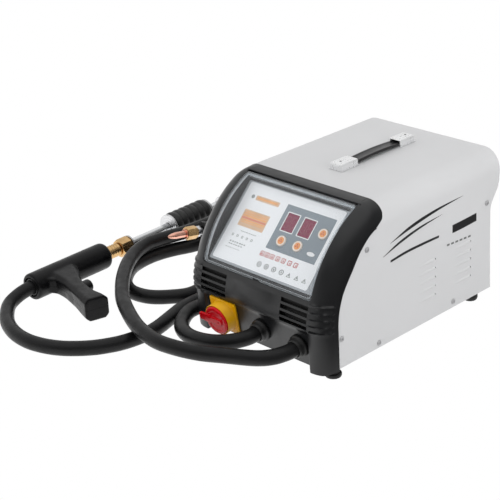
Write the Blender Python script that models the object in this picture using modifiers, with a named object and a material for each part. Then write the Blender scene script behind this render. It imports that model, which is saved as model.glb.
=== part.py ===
"""Spot welder (stud and dent-pulling resistance welder): a cabinet with a sloping front, a hinged
clear visor over the control panel, a rotary main switch, and two heavy welding leads, one to a
pistol gun that carries a slide hammer and one to a hand electrode.

Metres, +Z up, machine front towards -Y. In the layout frame x = 0 is the cabinet's middle plane,
y = 0 its front bottom edge and z = 0 the floor. The root empty then moves everything so that the
origin is the bottom centre of the whole object."""

import math

import bmesh
import bpy
from mathutils import Matrix, Vector

# ---------------------------------------------------------------- driving dimensions
WIDTH = 0.320          # cabinet, outside
HALF_WIDTH = WIDTH / 2
DEPTH_BOTTOM = 0.402   # cabinet side, along the floor
DEPTH_TOP = 0.427      # cabinet side, along the top
FOOT = 0.014           # foot height
HEIGHT = 0.2536        # cabinet, without feet
TOP = FOOT + HEIGHT
EDGE_R = 0.037         # long top edges
SHEET = 0.0015         # folded steel sheet
PLASTIC = 0.003        # moulded front
CABLE_R = 0.0132       # welding lead
GAP = 0.0003           # clearance between fitted parts
INNER_X = HALF_WIDTH - SHEET - GAP    # half width of what fits inside the cover

FACE_Y = -0.0180                      # lower front face at the cabinet's bottom
FACE_LEAN, FACE_RISE = 0.010, 0.067   # its top stands this far ahead of its foot, over this rise
SWITCH_X, SWITCH_Z = -0.077, FOOT + 0.034
GLANDS = (("earth", 0.010), ("gun", 0.097))   # (label, x)
GLAND_X = dict(GLANDS)
GLAND_Z = FOOT + 0.034
MAINS_X, MAINS_Z = -0.105, FOOT + 0.045
FAN_X, FAN_Z = 0.045, FOOT + 0.088

VISOR_HALF = 0.1235                   # half width
VISOR_T = 0.0025                      # wall
VISOR_LOW = (-0.0245, FOOT + 0.122)   # (y, z) of the low edge
VISOR_TOP = (0.0885, FOOT + 0.249)    # (y, z) of the hinge edge
VISOR_BULGE = 0.018                   # height of the arc over its chord

SIDES = ((-1, "left"), (1, "right"))  # (sign of x, word)
ARC_DEGREES = (18, 36, 54, 72, 90)    # steps round the long top edges
ALONG_X, ALONG_Y = (1, 0, 0), (0, 1, 0)

# ---------------------------------------------------------------- scene
for old in list(bpy.data.objects):
    bpy.data.objects.remove(old, do_unlink=True)

parts = bpy.data.collections.new("spot_welder")
cutters = bpy.data.collections.new("spot_welder_cutters")
bpy.context.scene.collection.children.link(parts)
bpy.context.scene.collection.children.link(cutters)

root = bpy.data.objects.new("origin_frame", None)
parts.objects.link(root)

# gun frame: origin at the centre of the nose face, +Y out along the rod, +X down the grip
gun = bpy.data.objects.new("gun_frame", None)
gun.location = (-0.4728, 0.0308, 0.0262)
gun.rotation_euler = (0, 0, 0.0448)
gun.parent = root
parts.objects.link(gun)

# ---------------------------------------------------------------- materials
CUTTER = None   # the finish of a hidden helper shape
FINISH = {      # base colour, roughness, metallic
    "paint": ((0.63, 0.63, 0.62), 0.45, 0.0),
    "charcoal": ((0.030, 0.032, 0.035), 0.45, 0.0),
    "black": ((0.012, 0.012, 0.013), 0.50, 0.0),
    "rubber": ((0.016, 0.016, 0.017), 0.60, 0.0),
    "steel": ((0.56, 0.57, 0.58), 0.28, 1.0),
    "zinc": ((0.50, 0.50, 0.49), 0.40, 1.0),
    "brass": ((0.62, 0.40, 0.14), 0.30, 1.0),
    "copper": ((0.80, 0.38, 0.26), 0.28, 1.0),
    "red": ((0.62, 0.02, 0.02), 0.30, 0.0),
    "yellow": ((0.85, 0.55, 0.02), 0.35, 0.0),
    "overlay": ((0.72, 0.73, 0.74), 0.35, 0.0),
    "orange": ((0.80, 0.33, 0.08), 0.35, 0.0),
    "led": ((0.16, 0.01, 0.02), 0.15, 0.0),
    "clear": ((0.85, 0.90, 0.92), 0.05, 0.0),
    "board": ((0.02, 0.16, 0.06), 0.45, 0.0),
    "iron": ((0.14, 0.14, 0.15), 0.55, 0.8),
    "varnish": ((0.42, 0.13, 0.03), 0.30, 0.3),
    "aluminium": ((0.70, 0.70, 0.72), 0.35, 1.0),
}
CLEAR_TRANSMISSION, CLEAR_ALPHA = 0.9, 0.35


def material(part, finish):
    colour, roughness, metallic = FINISH[finish]
    mat = bpy.data.materials.new(part + "_" + finish)
    mat.use_nodes = True
    inputs = mat.node_tree.nodes["Principled BSDF"].inputs
    inputs["Base Color"].default_value = (*colour, 1.0)
    inputs["Roughness"].default_value = roughness
    inputs["Metallic"].default_value = metallic
    if finish == "clear":
        inputs["Transmission Weight"].default_value = CLEAR_TRANSMISSION
        inputs["Alpha"].default_value = CLEAR_ALPHA
    return mat


# ---------------------------------------------------------------- shape helpers
def place(name, mesh, finish, loc=(0, 0, 0), rot=(0, 0, 0), parent=root):
    """A visible part, or a hidden helper if the finish is CUTTER."""
    obj = bpy.data.objects.new(name, mesh)
    obj.location = loc
    obj.rotation_euler = rot
    obj.parent = parent
    if finish is CUTTER:
        cutters.objects.link(obj)
        obj.hide_render = True
        obj.display_type = "WIRE"
    else:
        parts.objects.link(obj)
        mesh.materials.append(material(name, finish))
    return obj


def mesh_from(form, name, outward=None):
    """Mesh of a bmesh. An open surface also needs the direction its outermost face looks in."""
    bmesh.ops.recalc_face_normals(form, faces=form.faces)
    if outward is not None:
        outward = Vector(outward)
        outermost = max(form.faces, key=lambda face: face.calc_center_median().dot(outward))
        if outermost.normal.dot(outward) < 0:
            bmesh.ops.reverse_faces(form, faces=form.faces)
    mesh = bpy.data.meshes.new(name)
    form.to_mesh(mesh)
    form.free()
    return mesh


def box(name, finish, size, loc, rot=(0, 0, 0), parent=root, bevel=0.0, segments=2):
    form = bmesh.new()
    bmesh.ops.create_cube(form, size=1.0, matrix=Matrix.Diagonal((*size, 1.0)))
    obj = place(name, mesh_from(form, name), finish, loc, rot, parent)
    if bevel:
        mod = obj.modifiers.new("rounded_edges", "BEVEL")
        mod.width = bevel
        mod.segments = segments
        mod.limit_method = "ANGLE"
    return obj


def euler_to(direction):
    """Rotation that turns +Z onto a direction."""
    return Vector(direction).to_track_quat("Z", "Y").to_euler()


def cylinder(name, finish, radius, length, loc, direction, parent=root, sides=24):
    form = bmesh.new()
    bmesh.ops.create_cone(form, cap_ends=True, segments=sides, radius1=radius, radius2=radius,
                          depth=length)
    mesh = mesh_from(form, name)
    obj = place(name, mesh, finish, loc, euler_to(direction), parent)
    mesh.shade_smooth()
    mesh.set_sharp_from_angle(angle=math.radians(40))
    return obj


def polyline(form, points):
    """Adds a line of vertices to a bmesh; returns the vertices and the edges between them."""
    verts = [form.verts.new(point) for point in points]
    return verts, [form.edges.new(pair) for pair in zip(verts, verts[1:])]


def turned(name, finish, profile, loc, direction=(0, 0, 1), parent=root, steps=24, closed=False):
    """A profile of (radius, height) points turned about the local Z axis."""
    form = bmesh.new()
    verts, _ = polyline(form, [(radius, 0.0, z) for radius, z in profile])
    if closed:
        form.edges.new((verts[-1], verts[0]))
    obj = place(name, mesh_from(form, name), finish, loc, euler_to(direction), parent)
    mod = obj.modifiers.new("turned", "SCREW")
    mod.axis = "Z"
    mod.angle = math.tau
    mod.steps = steps
    mod.render_steps = steps
    mod.use_merge_vertices = True
    mod.merge_threshold = 0.00001
    mod.use_smooth_shade = False
    return obj


# outline (y, z), thickness along x
YZ = Matrix(((0, 0, 1, 0), (1, 0, 0, 0), (0, 1, 0, 0), (0, 0, 0, 1)))


def plate(name, finish, outline, half, matrix=YZ, origin=(0, 0, 0)):
    """A flat outline as a filled 2D curve, extruded by half its thickness each way, then made a
    mesh so that it can be cut. origin is the point its object's origin takes."""
    curve = bpy.data.curves.new(name + "_outline", "CURVE")
    curve.dimensions = "2D"
    curve.fill_mode = "BOTH"
    curve.extrude = half
    spline = curve.splines.new("POLY")
    spline.points.add(len(outline) - 1)
    for point, place_2d in zip(spline.points, outline):
        point.co = (*place_2d, 0.0, 1.0)
    spline.use_cyclic_u = True
    source = bpy.data.objects.new(name + "_curve", curve)
    bpy.context.scene.collection.objects.link(source)
    bpy.context.view_layer.update()
    graph = bpy.context.evaluated_depsgraph_get()
    mesh = bpy.data.meshes.new_from_object(source.evaluated_get(graph))
    bpy.data.objects.remove(source, do_unlink=True)
    form = bmesh.new()
    form.from_mesh(mesh)
    bmesh.ops.remove_doubles(form, verts=form.verts, dist=0.000005)
    bmesh.ops.transform(form, matrix=matrix, verts=form.verts)
    bmesh.ops.translate(form, vec=-Vector(origin), verts=form.verts)
    bmesh.ops.recalc_face_normals(form, faces=form.faces)
    form.to_mesh(mesh)
    form.free()
    return place(name, mesh, finish, origin)


def folded_sheet(name, points, travel, outward):
    """Painted sheet: a line of points drawn along travel, thickened inwards."""
    form = bmesh.new()
    _, edges = polyline(form, points)
    drawn = bmesh.ops.extrude_edge_only(form, edges=edges)["geom"]
    new_verts = [item for item in drawn if isinstance(item, bmesh.types.BMVert)]
    bmesh.ops.translate(form, vec=travel, verts=new_verts)
    obj = place(name, mesh_from(form, name, outward), "paint")
    mod = obj.modifiers.new("sheet", "SOLIDIFY")
    mod.thickness = SHEET
    mod.offset = -1.0
    mod.use_even_offset = True
    return obj


def combine(obj, other, operation):
    mod = obj.modifiers.new(operation.lower() + "_" + other.name, "BOOLEAN")
    mod.operation = operation
    mod.object = other
    mod.solver = "EXACT"


def cut(obj, tool):
    combine(obj, tool, "DIFFERENCE")


def join(obj, other):
    combine(obj, other, "UNION")


# ---------------------------------------------------------------- reference frames
FACE_TILT = math.atan2(FACE_LEAN, FACE_RISE)
FACE_OUT = Vector((0, -math.cos(FACE_TILT), -math.sin(FACE_TILT)))


def on_face(x, z, out=0.0):
    """A point of the lower front face, standing out of it by out."""
    return Vector((x, FACE_Y - FACE_LEAN * (z - FOOT) / FACE_RISE, z)) + FACE_OUT * out


# the panel plane lies under the visor
PANEL_FOOT = Vector((0, -0.014, FOOT + 0.130))
PANEL_UP = Vector((0, 0.103, 0.1045)).normalized()
PANEL_OUT = Vector((0, -PANEL_UP.z, PANEL_UP.y))
# outline (x, up), thickness along PANEL_OUT
PANEL = Matrix(((1, 0, 0, 0), (0, PANEL_UP.y, PANEL_OUT.y, 0), (0, PANEL_UP.z, PANEL_OUT.z, 0),
                (0, 0, 0, 1)))
PANEL_ROT = PANEL.to_euler()


def on_panel(x, up, out):
    return PANEL_FOOT + Vector((x, 0, 0)) + PANEL_UP * up + PANEL_OUT * out


def panel_yz(up, out):
    point = on_panel(0, up, out)
    return (point.y, point.z)


def panel_matrix(out):
    return Matrix.Translation(on_panel(0, 0, out)) @ PANEL


def arc_point(along, inset=0.0):
    """The visor's outer curve in (y, z), along = 0 at its low edge and 1 at its hinge edge."""
    low_edge, hinge_edge = Vector(VISOR_LOW), Vector(VISOR_TOP)
    chord = hinge_edge - low_edge
    out = Vector((-chord.y, chord.x)).normalized()
    half = chord.length / 2
    radius = (half * half + VISOR_BULGE ** 2) / (2 * VISOR_BULGE)
    centre = (low_edge + hinge_edge) / 2 - out * (radius - VISOR_BULGE)
    start = math.atan2(low_edge.y - centre.y, low_edge.x - centre.x)
    stop = math.atan2(hinge_edge.y - centre.y, hinge_edge.x - centre.x)
    angle = start + (stop - start) * along
    reach = radius - inset
    return (centre.x + reach * math.cos(angle), centre.y + reach * math.sin(angle))


# ---------------------------------------------------------------- side profile of front and cover
# front line (y, z) and cabinet edge (y, z), from the pillars' feet up; z is above FOOT
LOWER = [
    ((-0.0265, -0.007), (0.0005, -0.007)), ((-0.0270, 0.000), (0.0005, 0.000)),
    ((-0.0285, 0.033), (0.0005, 0.033)), ((-0.0315, 0.064), (0.0003, 0.062)),
    ((-0.0335, 0.070), (0.0003, 0.068)), ((-0.0345, 0.080), (0.0002, 0.078)),
    ((-0.0330, 0.092), (0.0010, 0.090)), ((-0.0290, 0.1075), (0.0035, 0.105)),
]
UPPER = [((0.1030, 0.2525), (0.0800, 0.2110)), ((0.1180, HEIGHT), (0.0915, HEIGHT - EDGE_R))]
# cabinet edge (y, z above FOOT) beside the visor, whose arc is the front line there
EDGE = [
    (0.0075, 0.118), (0.0125, 0.1305), (0.0205, 0.1435), (0.0285, 0.1545), (0.0370, 0.1655),
    (0.0455, 0.1775), (0.0540, 0.1885), (0.0630, 0.1975), (0.0722, 0.2055),
]
# y of the joint round the top corners, by degrees up from the side: the front swells back there
CORNER_Y = {18: 0.1120, 36: 0.1176, 54: 0.1188, 72: 0.1186}
# y of the lower centre face by row: set back between the pillars
RECESS_Y = {0: FACE_Y, 1: FACE_Y, 2: -0.0229, 3: -0.0276}


def raised(pairs):
    return [((front_y, front_z + FOOT), (back_y, back_z + FOOT))
            for (front_y, front_z), (back_y, back_z) in pairs]


visor_rows = [(arc_point(i / (len(EDGE) - 1)), (y, z + FOOT)) for i, (y, z) in enumerate(EDGE)]
rows = raised(LOWER) + visor_rows + raised(UPPER)

FLAT = 0.1235                              # half width of the front before its round sides
ROUND = HALF_WIDTH + 0.0010 - FLAT         # width of each round side
PILLAR_X = (0.1170, 0.1215)                # foot and crest of the step from recess to pillar
RECESS_HALF = 0.119                        # columns inside this belong to the recess
# (side, degrees) on the round sides, (x, None) on the flat
columns = [(-1, degrees) for degrees in reversed((0, *ARC_DEGREES))]
columns += [(x, None) for x in (-PILLAR_X[1], -PILLAR_X[0], *PILLAR_X)]
columns += [(1, degrees) for degrees in (0, *ARC_DEGREES)]


def bezel_point(i, j):
    """The point of the front's surface at column i and row j."""
    (front_y, front_z), (back_y, back_z) = rows[j]
    across, degrees = columns[i]
    if degrees is None:
        y = RECESS_Y.get(j, front_y) if abs(across) < RECESS_HALF else front_y
        return (across, y, front_z)
    angle = math.radians(degrees)
    back = 1 - math.cos(angle)
    y = front_y + (back_y - front_y) * back
    if j == len(rows) - 1:
        y = CORNER_Y.get(90 - degrees, y)
    x = across * (FLAT + ROUND * math.sin(angle))
    return (x, y, front_z + (back_z - front_z) * back)


# ---------------------------------------------------------------- moulded front
last_column, last_row = len(columns) - 1, len(rows) - 1
surface = bmesh.new()
bmesh.ops.create_grid(surface, x_segments=last_column, y_segments=last_row, size=1.0)
for vert in surface.verts:
    vert.co = bezel_point(round((vert.co.x + 1) / 2 * last_column),
                          round((vert.co.y + 1) / 2 * last_row))
front_bezel = place("front_bezel", mesh_from(surface, "front_bezel", (0, -1, 0)), "charcoal")
wall = front_bezel.modifiers.new("wall", "SOLIDIFY")
wall.thickness = PLASTIC
wall.offset = -1.0

# the back rim is one clean edge, where the folded cover butts against it
corner_line = [(y, TOP - EDGE_R * (1 - math.sin(math.radians(degrees))))
               for degrees, y in CORNER_Y.items()]
edge_line = [edge for _, edge in rows]
joint_line = [(y + 0.0002, z) for y, z in edge_line + corner_line]
cut(front_bezel, plate("joint_trim", CUTTER, [
    (0.30, FOOT - 0.02), (0.0007, FOOT - 0.02), *joint_line,
    (0.1182, TOP), (0.1182, TOP + 0.02), (0.30, TOP + 0.02)], 0.2))

# a tub behind the visor: a solid block, then the opening and the panel's ledge cut out of it
block_outline = [panel_yz(-0.0170, -0.0068), *[arc_point(k / 8, 0.0012) for k in range(9)],
                 panel_yz(0.1637, 0.0080), panel_yz(0.1637, -0.0068)]
join(front_bezel, plate("window_block", CUTTER, block_outline, 0.1285))
opening = [panel_yz(-0.0138, -0.0038), panel_yz(-0.0138, 0.06),
           panel_yz(0.1605, 0.06), panel_yz(0.1605, -0.0038)]
cut(front_bezel, plate("window_opening", CUTTER, opening, 0.1255))
ledge = [(-0.112, 0.006), (0.112, 0.006), (0.112, 0.144), (-0.112, 0.144)]
cut(front_bezel, plate("ledge_opening", CUTTER, ledge, 0.004, panel_matrix(-0.0055)))
cut(front_bezel, box("between_pillars", CUTTER, (0.237, 0.05, 0.02),
                     (0, -0.02, FOOT - 0.010 + 0.0005)))

VENT_SIZE = (0.058, 0.04, 0.0064)
VENT_X, VENT_TOP, VENT_PITCH = 0.0935, FOOT + 0.1095, 0.011
for side, word in SIDES:
    for k in range(4):
        cut(front_bezel, box(f"vent_{word}_{k + 1}", CUTTER, VENT_SIZE,
                             (side * VENT_X, -0.025, VENT_TOP - VENT_PITCH * k)))
cut(front_bezel, cylinder("switch_hole", CUTTER, 0.0080, 0.05,
                          on_face(SWITCH_X, SWITCH_Z), FACE_OUT, sides=20))
for label, x in GLANDS:
    cut(front_bezel, cylinder(f"gland_hole_{label}", CUTTER, 0.0158, 0.05,
                              on_face(x, GLAND_Z), FACE_OUT))
hinge_at = on_panel(0, 0.1540, 0.0062)
HINGE_BORE_R = 0.0016
cut(front_bezel, cylinder("pin_hole", CUTTER, HINGE_BORE_R, 0.2562, hinge_at, ALONG_X, sides=12))

# ---------------------------------------------------------------- folded top cover
section = [(-HALF_WIDTH, FOOT + 0.0015), (-HALF_WIDTH, TOP - EDGE_R)]   # (x, z), left half first
for degrees in ARC_DEGREES:
    angle = math.radians(degrees)
    section.append((-HALF_WIDTH + EDGE_R * (1 - math.cos(angle)),
                    TOP - EDGE_R * (1 - math.sin(angle))))
section += [(-x, z) for x, z in reversed(section)]
# drawn overlong, then trimmed to the front joint and the rear profile
top_cover = folded_sheet("top_cover", [(x, -0.06, z) for x, z in section],
                         travel=(0, 0.50, 0), outward=(0, 0, 1))
front_edge = [(y + 0.0006, z) for y, z in edge_line[1:] + corner_line]
cut(top_cover, plate("cover_front_cut", CUTTER, [
    (-0.10, -0.01), (0.0011, -0.01), *front_edge,
    (0.1186, TOP), (0.1186, TOP + 0.03), (-0.10, TOP + 0.03)], 0.2))
# rear profile (y, z above FOOT), from the bottom up
REAR = [(DEPTH_BOTTOM, 0.0), (0.398, 0.155), (0.4006, 0.162), (0.408, 0.173), (0.418, 0.186),
        (0.422, 0.198), (0.4225, 0.229), (DEPTH_TOP, HEIGHT)]
rear_edge = [(y, z + FOOT) for y, z in REAR]
cut(top_cover, plate("cover_rear_cut", CUTTER, [
    (0.403, -0.01), *rear_edge, (0.428, TOP + 0.03), (0.50, TOP + 0.03), (0.50, -0.01)], 0.2))

LOUVER_SIZE = (0.01, 0.010, 0.0042)
LOUVER_TOP, LOUVER_PITCH = FOOT + 0.111, 0.0165
for side, word in SIDES:
    for column, y in enumerate((0.245, 0.342)):
        for k in range(5):
            cut(top_cover, box(f"louver_{word[0]}{column}{k}", CUTTER, LOUVER_SIZE,
                               (side * HALF_WIDTH, y, LOUVER_TOP - LOUVER_PITCH * k)))

# (label, y, z above FOOT) of the side screws
SCREWS = [("low_front", 0.0087, 0.0536), ("high_front", 0.0728, 0.1877),
          ("foot_front", 0.0995, 0.0107), ("foot_rear", 0.2955, 0.0129),
          ("high_rear", 0.387, 0.1681)]
SCREW_HOLE_R = 0.0023
# pan head outside the sheet, shank through its hole
SCREW_FORM = [(0, 0.0028), (0.0032, 0.0024), (0.0050, 0.0010), (0.0050, GAP), (0.0019, GAP),
              (0.0019, -0.0075), (0, -0.0075)]
for side, word in SIDES:
    for label, y, z in SCREWS:
        screw_at = (side * HALF_WIDTH, y, z + FOOT)
        cut(top_cover, cylinder(f"clear_{word}_{label}", CUTTER, SCREW_HOLE_R, 0.02, screw_at,
                                ALONG_X, sides=12))
        turned(f"screw_{word}_{label}", "zinc", SCREW_FORM, screw_at, (side, 0, 0), steps=12)

# ---------------------------------------------------------------- bottom tray
TRAY_L = DEPTH_BOTTOM - 0.0080
TRAY_H = 0.024
TRAY_Y = 0.0025 + TRAY_L / 2
base_pan = box("base_pan", "paint", (2 * INNER_X, TRAY_L, TRAY_H), (0, TRAY_Y, FOOT + TRAY_H / 2))
# the tray is open at the front, where the switch and the leads come through
cut(base_pan, box("tray_hollow", CUTTER, (2 * INNER_X - 2 * SHEET, TRAY_L, 0.03),
                  (0, TRAY_Y - SHEET, FOOT + 0.015 + SHEET)))
for side, _ in SIDES:
    for label, y, z in SCREWS:
        if label.startswith("foot"):
            cut(base_pan, cylinder(f"tap_{side}_{label}", CUTTER, SCREW_HOLE_R, 0.03,
                                   (side * (HALF_WIDTH - 0.004), y, z + FOOT), ALONG_X, sides=12))
for k in range(6):
    cut(base_pan, box(f"base_slot_{k}", CUTTER, (0.006, 0.09, 0.02),
                      (-0.075 + 0.030 * k, 0.315, FOOT)))

# ---------------------------------------------------------------- rear panel
rear_line = [(DEPTH_BOTTOM + 0.0012, 0.0005), *REAR[1:-1], (0.4245, HEIGHT - SHEET - 0.0045)]
rear_panel = folded_sheet("rear_panel", [(-INNER_X, y - 0.0030, z + FOOT) for y, z in rear_line],
                          travel=(2 * INNER_X, 0, 0), outward=(0, 1, 0))
# its top corners follow the inside of the cover; outline (x, z) of the right-hand waste
INNER_R = EDGE_R - SHEET - GAP
waste = [(INNER_X, TOP - EDGE_R)]
for degrees in ARC_DEGREES:
    angle = math.radians(degrees)
    waste.append((HALF_WIDTH - EDGE_R + INNER_R * math.cos(angle),
                  TOP - EDGE_R + INNER_R * math.sin(angle)))
waste += [(HALF_WIDTH + 0.02, TOP + 0.01), (HALF_WIDTH + 0.02, TOP - EDGE_R)]
# outline (x, z), thickness along y about y = 0.42
XZ = Matrix(((1, 0, 0, 0), (0, 0, -1, 0.42), (0, 1, 0, 0), (0, 0, 0, 1)))
cut(rear_panel, plate("rear_corner_right", CUTTER, waste, 0.05, XZ))
cut(rear_panel, plate("rear_corner_left", CUTTER, [(-x, z) for x, z in waste], 0.05, XZ))
cut(rear_panel, cylinder("fan_hole", CUTTER, 0.040, 0.03, (FAN_X, 0.398, FAN_Z), ALONG_Y,
                         sides=32))
cut(rear_panel, cylinder("mains_hole", CUTTER, 0.0098, 0.03, (MAINS_X, 0.398, MAINS_Z), ALONG_Y,
                         sides=20))

# ---------------------------------------------------------------- feet: (radius, z) forms
FRONT_FOOT = [(0, FOOT - GAP), (0.0105, FOOT - GAP), (0.0105, 0.0066), (0.0125, 0.0062),
              (0.0121, 0.0015), (0.0105, 0.0), (0, 0.0)]
REAR_FOOT = [(0, FOOT - GAP), (0.0115, FOOT - GAP), (0.0135, FOOT * 0.45), (0.0125, 0.0015),
             (0.0105, 0.0), (0, 0.0)]
for end, x, y, form in (("front", 0.147, 0.001, FRONT_FOOT), ("rear", 0.143, 0.366, REAR_FOOT)):
    for side, word in SIDES:
        turned(f"foot_{end}_{word}", "rubber", form, (side * x, y, 0), steps=20)

# ---------------------------------------------------------------- carrying handle
CAP_H = 0.0125
STRAP_FRONT, STRAP_REAR = 0.190, 0.3600
STRAP_LOW, STRAP_HIGH = TOP + 0.0026, TOP + 0.0074   # faces where the strap lies flat
STRAP_RISE = 0.0020                                  # bow in the middle
STRAP_MIDDLE, BOW_HALF = 0.275, 0.054


def handle_cap(name, front, rear, slot_front, slot_rear):
    """End cap between two y values, with a slot for the strap."""
    cap = box(name, "aluminium", (0.028, rear - front, CAP_H),
              (0, (front + rear) / 2, TOP + CAP_H / 2 + GAP), bevel=0.0024)
    cut(cap, box(name + "_slot", CUTTER, (0.0226, slot_rear - slot_front, 0.0090),
                 (0, (slot_front + slot_rear) / 2, TOP + 0.0064)))


handle_cap("handle_cap_front", 0.177, 0.2205, 0.187, 0.25)
handle_cap("handle_cap_rear", 0.3315, 0.3705, 0.30, 0.3625)
strap_low, strap_high = [], []
for k in range(13):
    y = STRAP_FRONT + (STRAP_REAR - STRAP_FRONT) * k / 12
    rise = STRAP_RISE * max(0.0, 1 - ((y - STRAP_MIDDLE) / BOW_HALF) ** 2)
    strap_low.append((y, STRAP_LOW + rise))
    strap_high.append((y, STRAP_HIGH + rise))
plate("handle_strap", "black", strap_low + strap_high[::-1], 0.0110,
      origin=(0, STRAP_MIDDLE, TOP + 0.0050))

# ---------------------------------------------------------------- panel, displays, buttons, board
panel_outline = [(-0.1200, -0.0030), (0.1200, -0.0030), (0.1200, 0.1480), (-0.1200, 0.1480)]
panel = plate("control_panel", "overlay", panel_outline, 0.00075, panel_matrix(-0.00275))
DISPLAY_UP = 0.0986
for label, x in (("left", 0.0073), ("right", 0.0446)):
    cut(panel, box(f"window_{label}", CUTTER, (0.0256, 0.0326, 0.02),
                   on_panel(x, DISPLAY_UP, 0), PANEL_ROT))
    box(f"display_{label}", "led", (0.0250, 0.0320, 0.0085), on_panel(x, DISPLAY_UP, -0.0060),
        PANEL_ROT)
BUTTONS = ((1, 0.0084, 0.0646), (2, 0.0454, 0.0649), (3, 0.0818, 0.0985))   # (number, x, up)
BUTTON_FORM = [(0, 0.0010), (0.0055, 0.0008), (0.0092, -0.0004), (0.0092, -0.0060), (0, -0.0060)]
for k, x, up in BUTTONS:
    cut(panel, cylinder(f"button_hole_{k}", CUTTER, 0.0098, 0.02, on_panel(x, up, 0), PANEL_OUT))
    turned(f"button_{k}", "orange", BUTTON_FORM, on_panel(x, up, 0), PANEL_OUT)
board = box("control_board", "board", (0.205, 0.120, 0.0016), on_panel(0, 0.072, -0.0185),
            PANEL_ROT)
for side, _ in SIDES:
    for up in (0.018, 0.126):
        join(board, cylinder(f"post_{side}_{up}", CUTTER, 0.0030, 0.0142,
                             on_panel(side * 0.098, up, -0.0110), PANEL_OUT, sides=10))

# ---------------------------------------------------------------- clear visor and its hinge pin
outer = [arc_point(k / 12) for k in range(13)]
inner = [arc_point(k / 12, VISOR_T) for k in range(13)]
visor = plate("visor", "clear", outer + inner[::-1], VISOR_HALF, origin=hinge_at)
join(visor, cylinder("visor_barrel", CUTTER, 0.0036, 2 * VISOR_HALF, hinge_at, ALONG_X, sides=16))
cut(visor, cylinder("barrel_bore", CUTTER, HINGE_BORE_R, 0.26, hinge_at, ALONG_X, sides=12))
cut(visor, cylinder("thumb_notch", CUTTER, 0.010, 0.04, (0, VISOR_LOW[0], VISOR_LOW[1] - 0.0072),
                    ALONG_Y, sides=20))
cylinder("visor_hinge_pin", "steel", 0.0012, 0.2554, hinge_at, ALONG_X, sides=12)

# ---------------------------------------------------------------- main switch
SWITCH_ROT = euler_to(FACE_OUT)
switch_at = on_face(SWITCH_X, SWITCH_Z)
SHROUD_FORM = [(0.0264, 0.0215), (0.0282, 0.0208), (0.0286, 0.0010), (0.0250, 0.0010),
               (0.0264, 0.0040)]
KNOB_FORM = [(0, 0.0252), (0.0228, 0.0249), (0.0250, 0.0234), (0.0256, 0.0048),
             (0.0062, 0.0048), (0.0062, -0.0060), (0, -0.0060)]
switch_plate = box("switch_plate", "yellow", (0.0615, 0.0595, 0.0030),
                   on_face(SWITCH_X, SWITCH_Z, 0.0018), SWITCH_ROT, bevel=0.0008, segments=1)
join(switch_plate, turned("switch_shroud", CUTTER, SHROUD_FORM, switch_at, FACE_OUT, steps=36,
                          closed=True))
cut(switch_plate, cylinder("switch_plate_hole", CUTTER, 0.0075, 0.02, switch_at, FACE_OUT,
                           sides=20))
box("switch_body", "black", (0.048, 0.048, 0.042), on_face(SWITCH_X, SWITCH_Z, -0.0275),
    SWITCH_ROT, bevel=0.002, segments=1)
knob = turned("switch_knob", "red", KNOB_FORM, switch_at, FACE_OUT, steps=32)
# a tab on the left of the knob's rim
tab_at = on_face(SWITCH_X, SWITCH_Z, 0.0243) + Vector((-0.0270, 0, 0))
join(knob, box("switch_tab", CUTTER, (0.0240, 0.0155, 0.0038), tab_at, SWITCH_ROT, bevel=0.0015))

# ---------------------------------------------------------------- lead glands
LEAD_BORE_R = CABLE_R + 0.0008
GLAND_FORM = [(0.0150, 0.0135), (0.0182, 0.0118), (0.0195, 0.0090), (0.0195, GAP), (0.0155, GAP),
              (0.0155, -0.0100), (LEAD_BORE_R, -0.0100), (LEAD_BORE_R, 0.0110)]
MAINS_FORM = [(0.0070, 0.0200), (0.0085, 0.0200), (0.0110, 0.0080), (0.0140, 0.0070),
              (0.0140, GAP), (0.0095, GAP), (0.0095, -0.0120), (0.0045, -0.0120),
              (0.0045, 0.0200)]
for label, x in GLANDS:
    turned(f"gland_{label}", "rubber", GLAND_FORM, on_face(x, GLAND_Z), FACE_OUT, steps=28,
           closed=True)
turned("mains_gland", "black", MAINS_FORM, (MAINS_X, 0.3996, MAINS_Z), ALONG_Y, steps=20,
       closed=True)

# ---------------------------------------------------------------- welding leads
LEAD_STEP = 0.033        # spacing of the points along a lead
LOW = CABLE_R + 0.0002   # height of a lead lying on the floor
OVER = 0.0415            # height of a turn lying on another

HOLDER_TIP = Vector((-0.3691, 0.1058, 0.0670))
HOLDER_DIR = Vector((0.0057, 0.0730, -0.0110)).normalized()   # from the tip towards the lead


def holder(along):
    """A point on the hand electrode's axis."""
    return HOLDER_TIP + HOLDER_DIR * along


def smooth_path(points):
    """Catmull-Rom path through the points."""
    line = [Vector(point) for point in points]
    ends = [line[0] * 2 - line[1], *line, line[-1] * 2 - line[-2]]
    path = []
    for before, start, stop, after in zip(ends, ends[1:], ends[2:], ends[3:]):
        count = max(1, round((stop - start).length / LEAD_STEP))
        for k in range(count):
            part = k / count
            path.append(0.5 * (2 * start + (stop - before) * part
                               + (2 * before - 5 * start + 4 * stop - after) * part * part
                               + (3 * start - before - 3 * stop + after) * part ** 3))
    return path + [line[-1]]


def lead(name, gland_x, points):
    """A flexible lead from inside its gland through the points."""
    gland_points = [(gland_x, 0.020, GLAND_Z + 0.0060)]
    gland_points += [on_face(gland_x, GLAND_Z, out) for out in (-0.012, 0.0015, 0.014)]
    path = smooth_path(gland_points + points)
    curve = bpy.data.curves.new(name, "CURVE")
    curve.dimensions = "3D"
    curve.bevel_depth = CABLE_R
    curve.bevel_resolution = 2
    curve.use_fill_caps = True
    spline = curve.splines.new("POLY")
    spline.points.add(len(path) - 1)
    for point, co in zip(spline.points, path):
        point.co = (*co, 1.0)
    obj = bpy.data.objects.new(name, curve)
    obj.parent = root
    parts.objects.link(obj)
    curve.materials.append(material(name, "rubber"))


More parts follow.
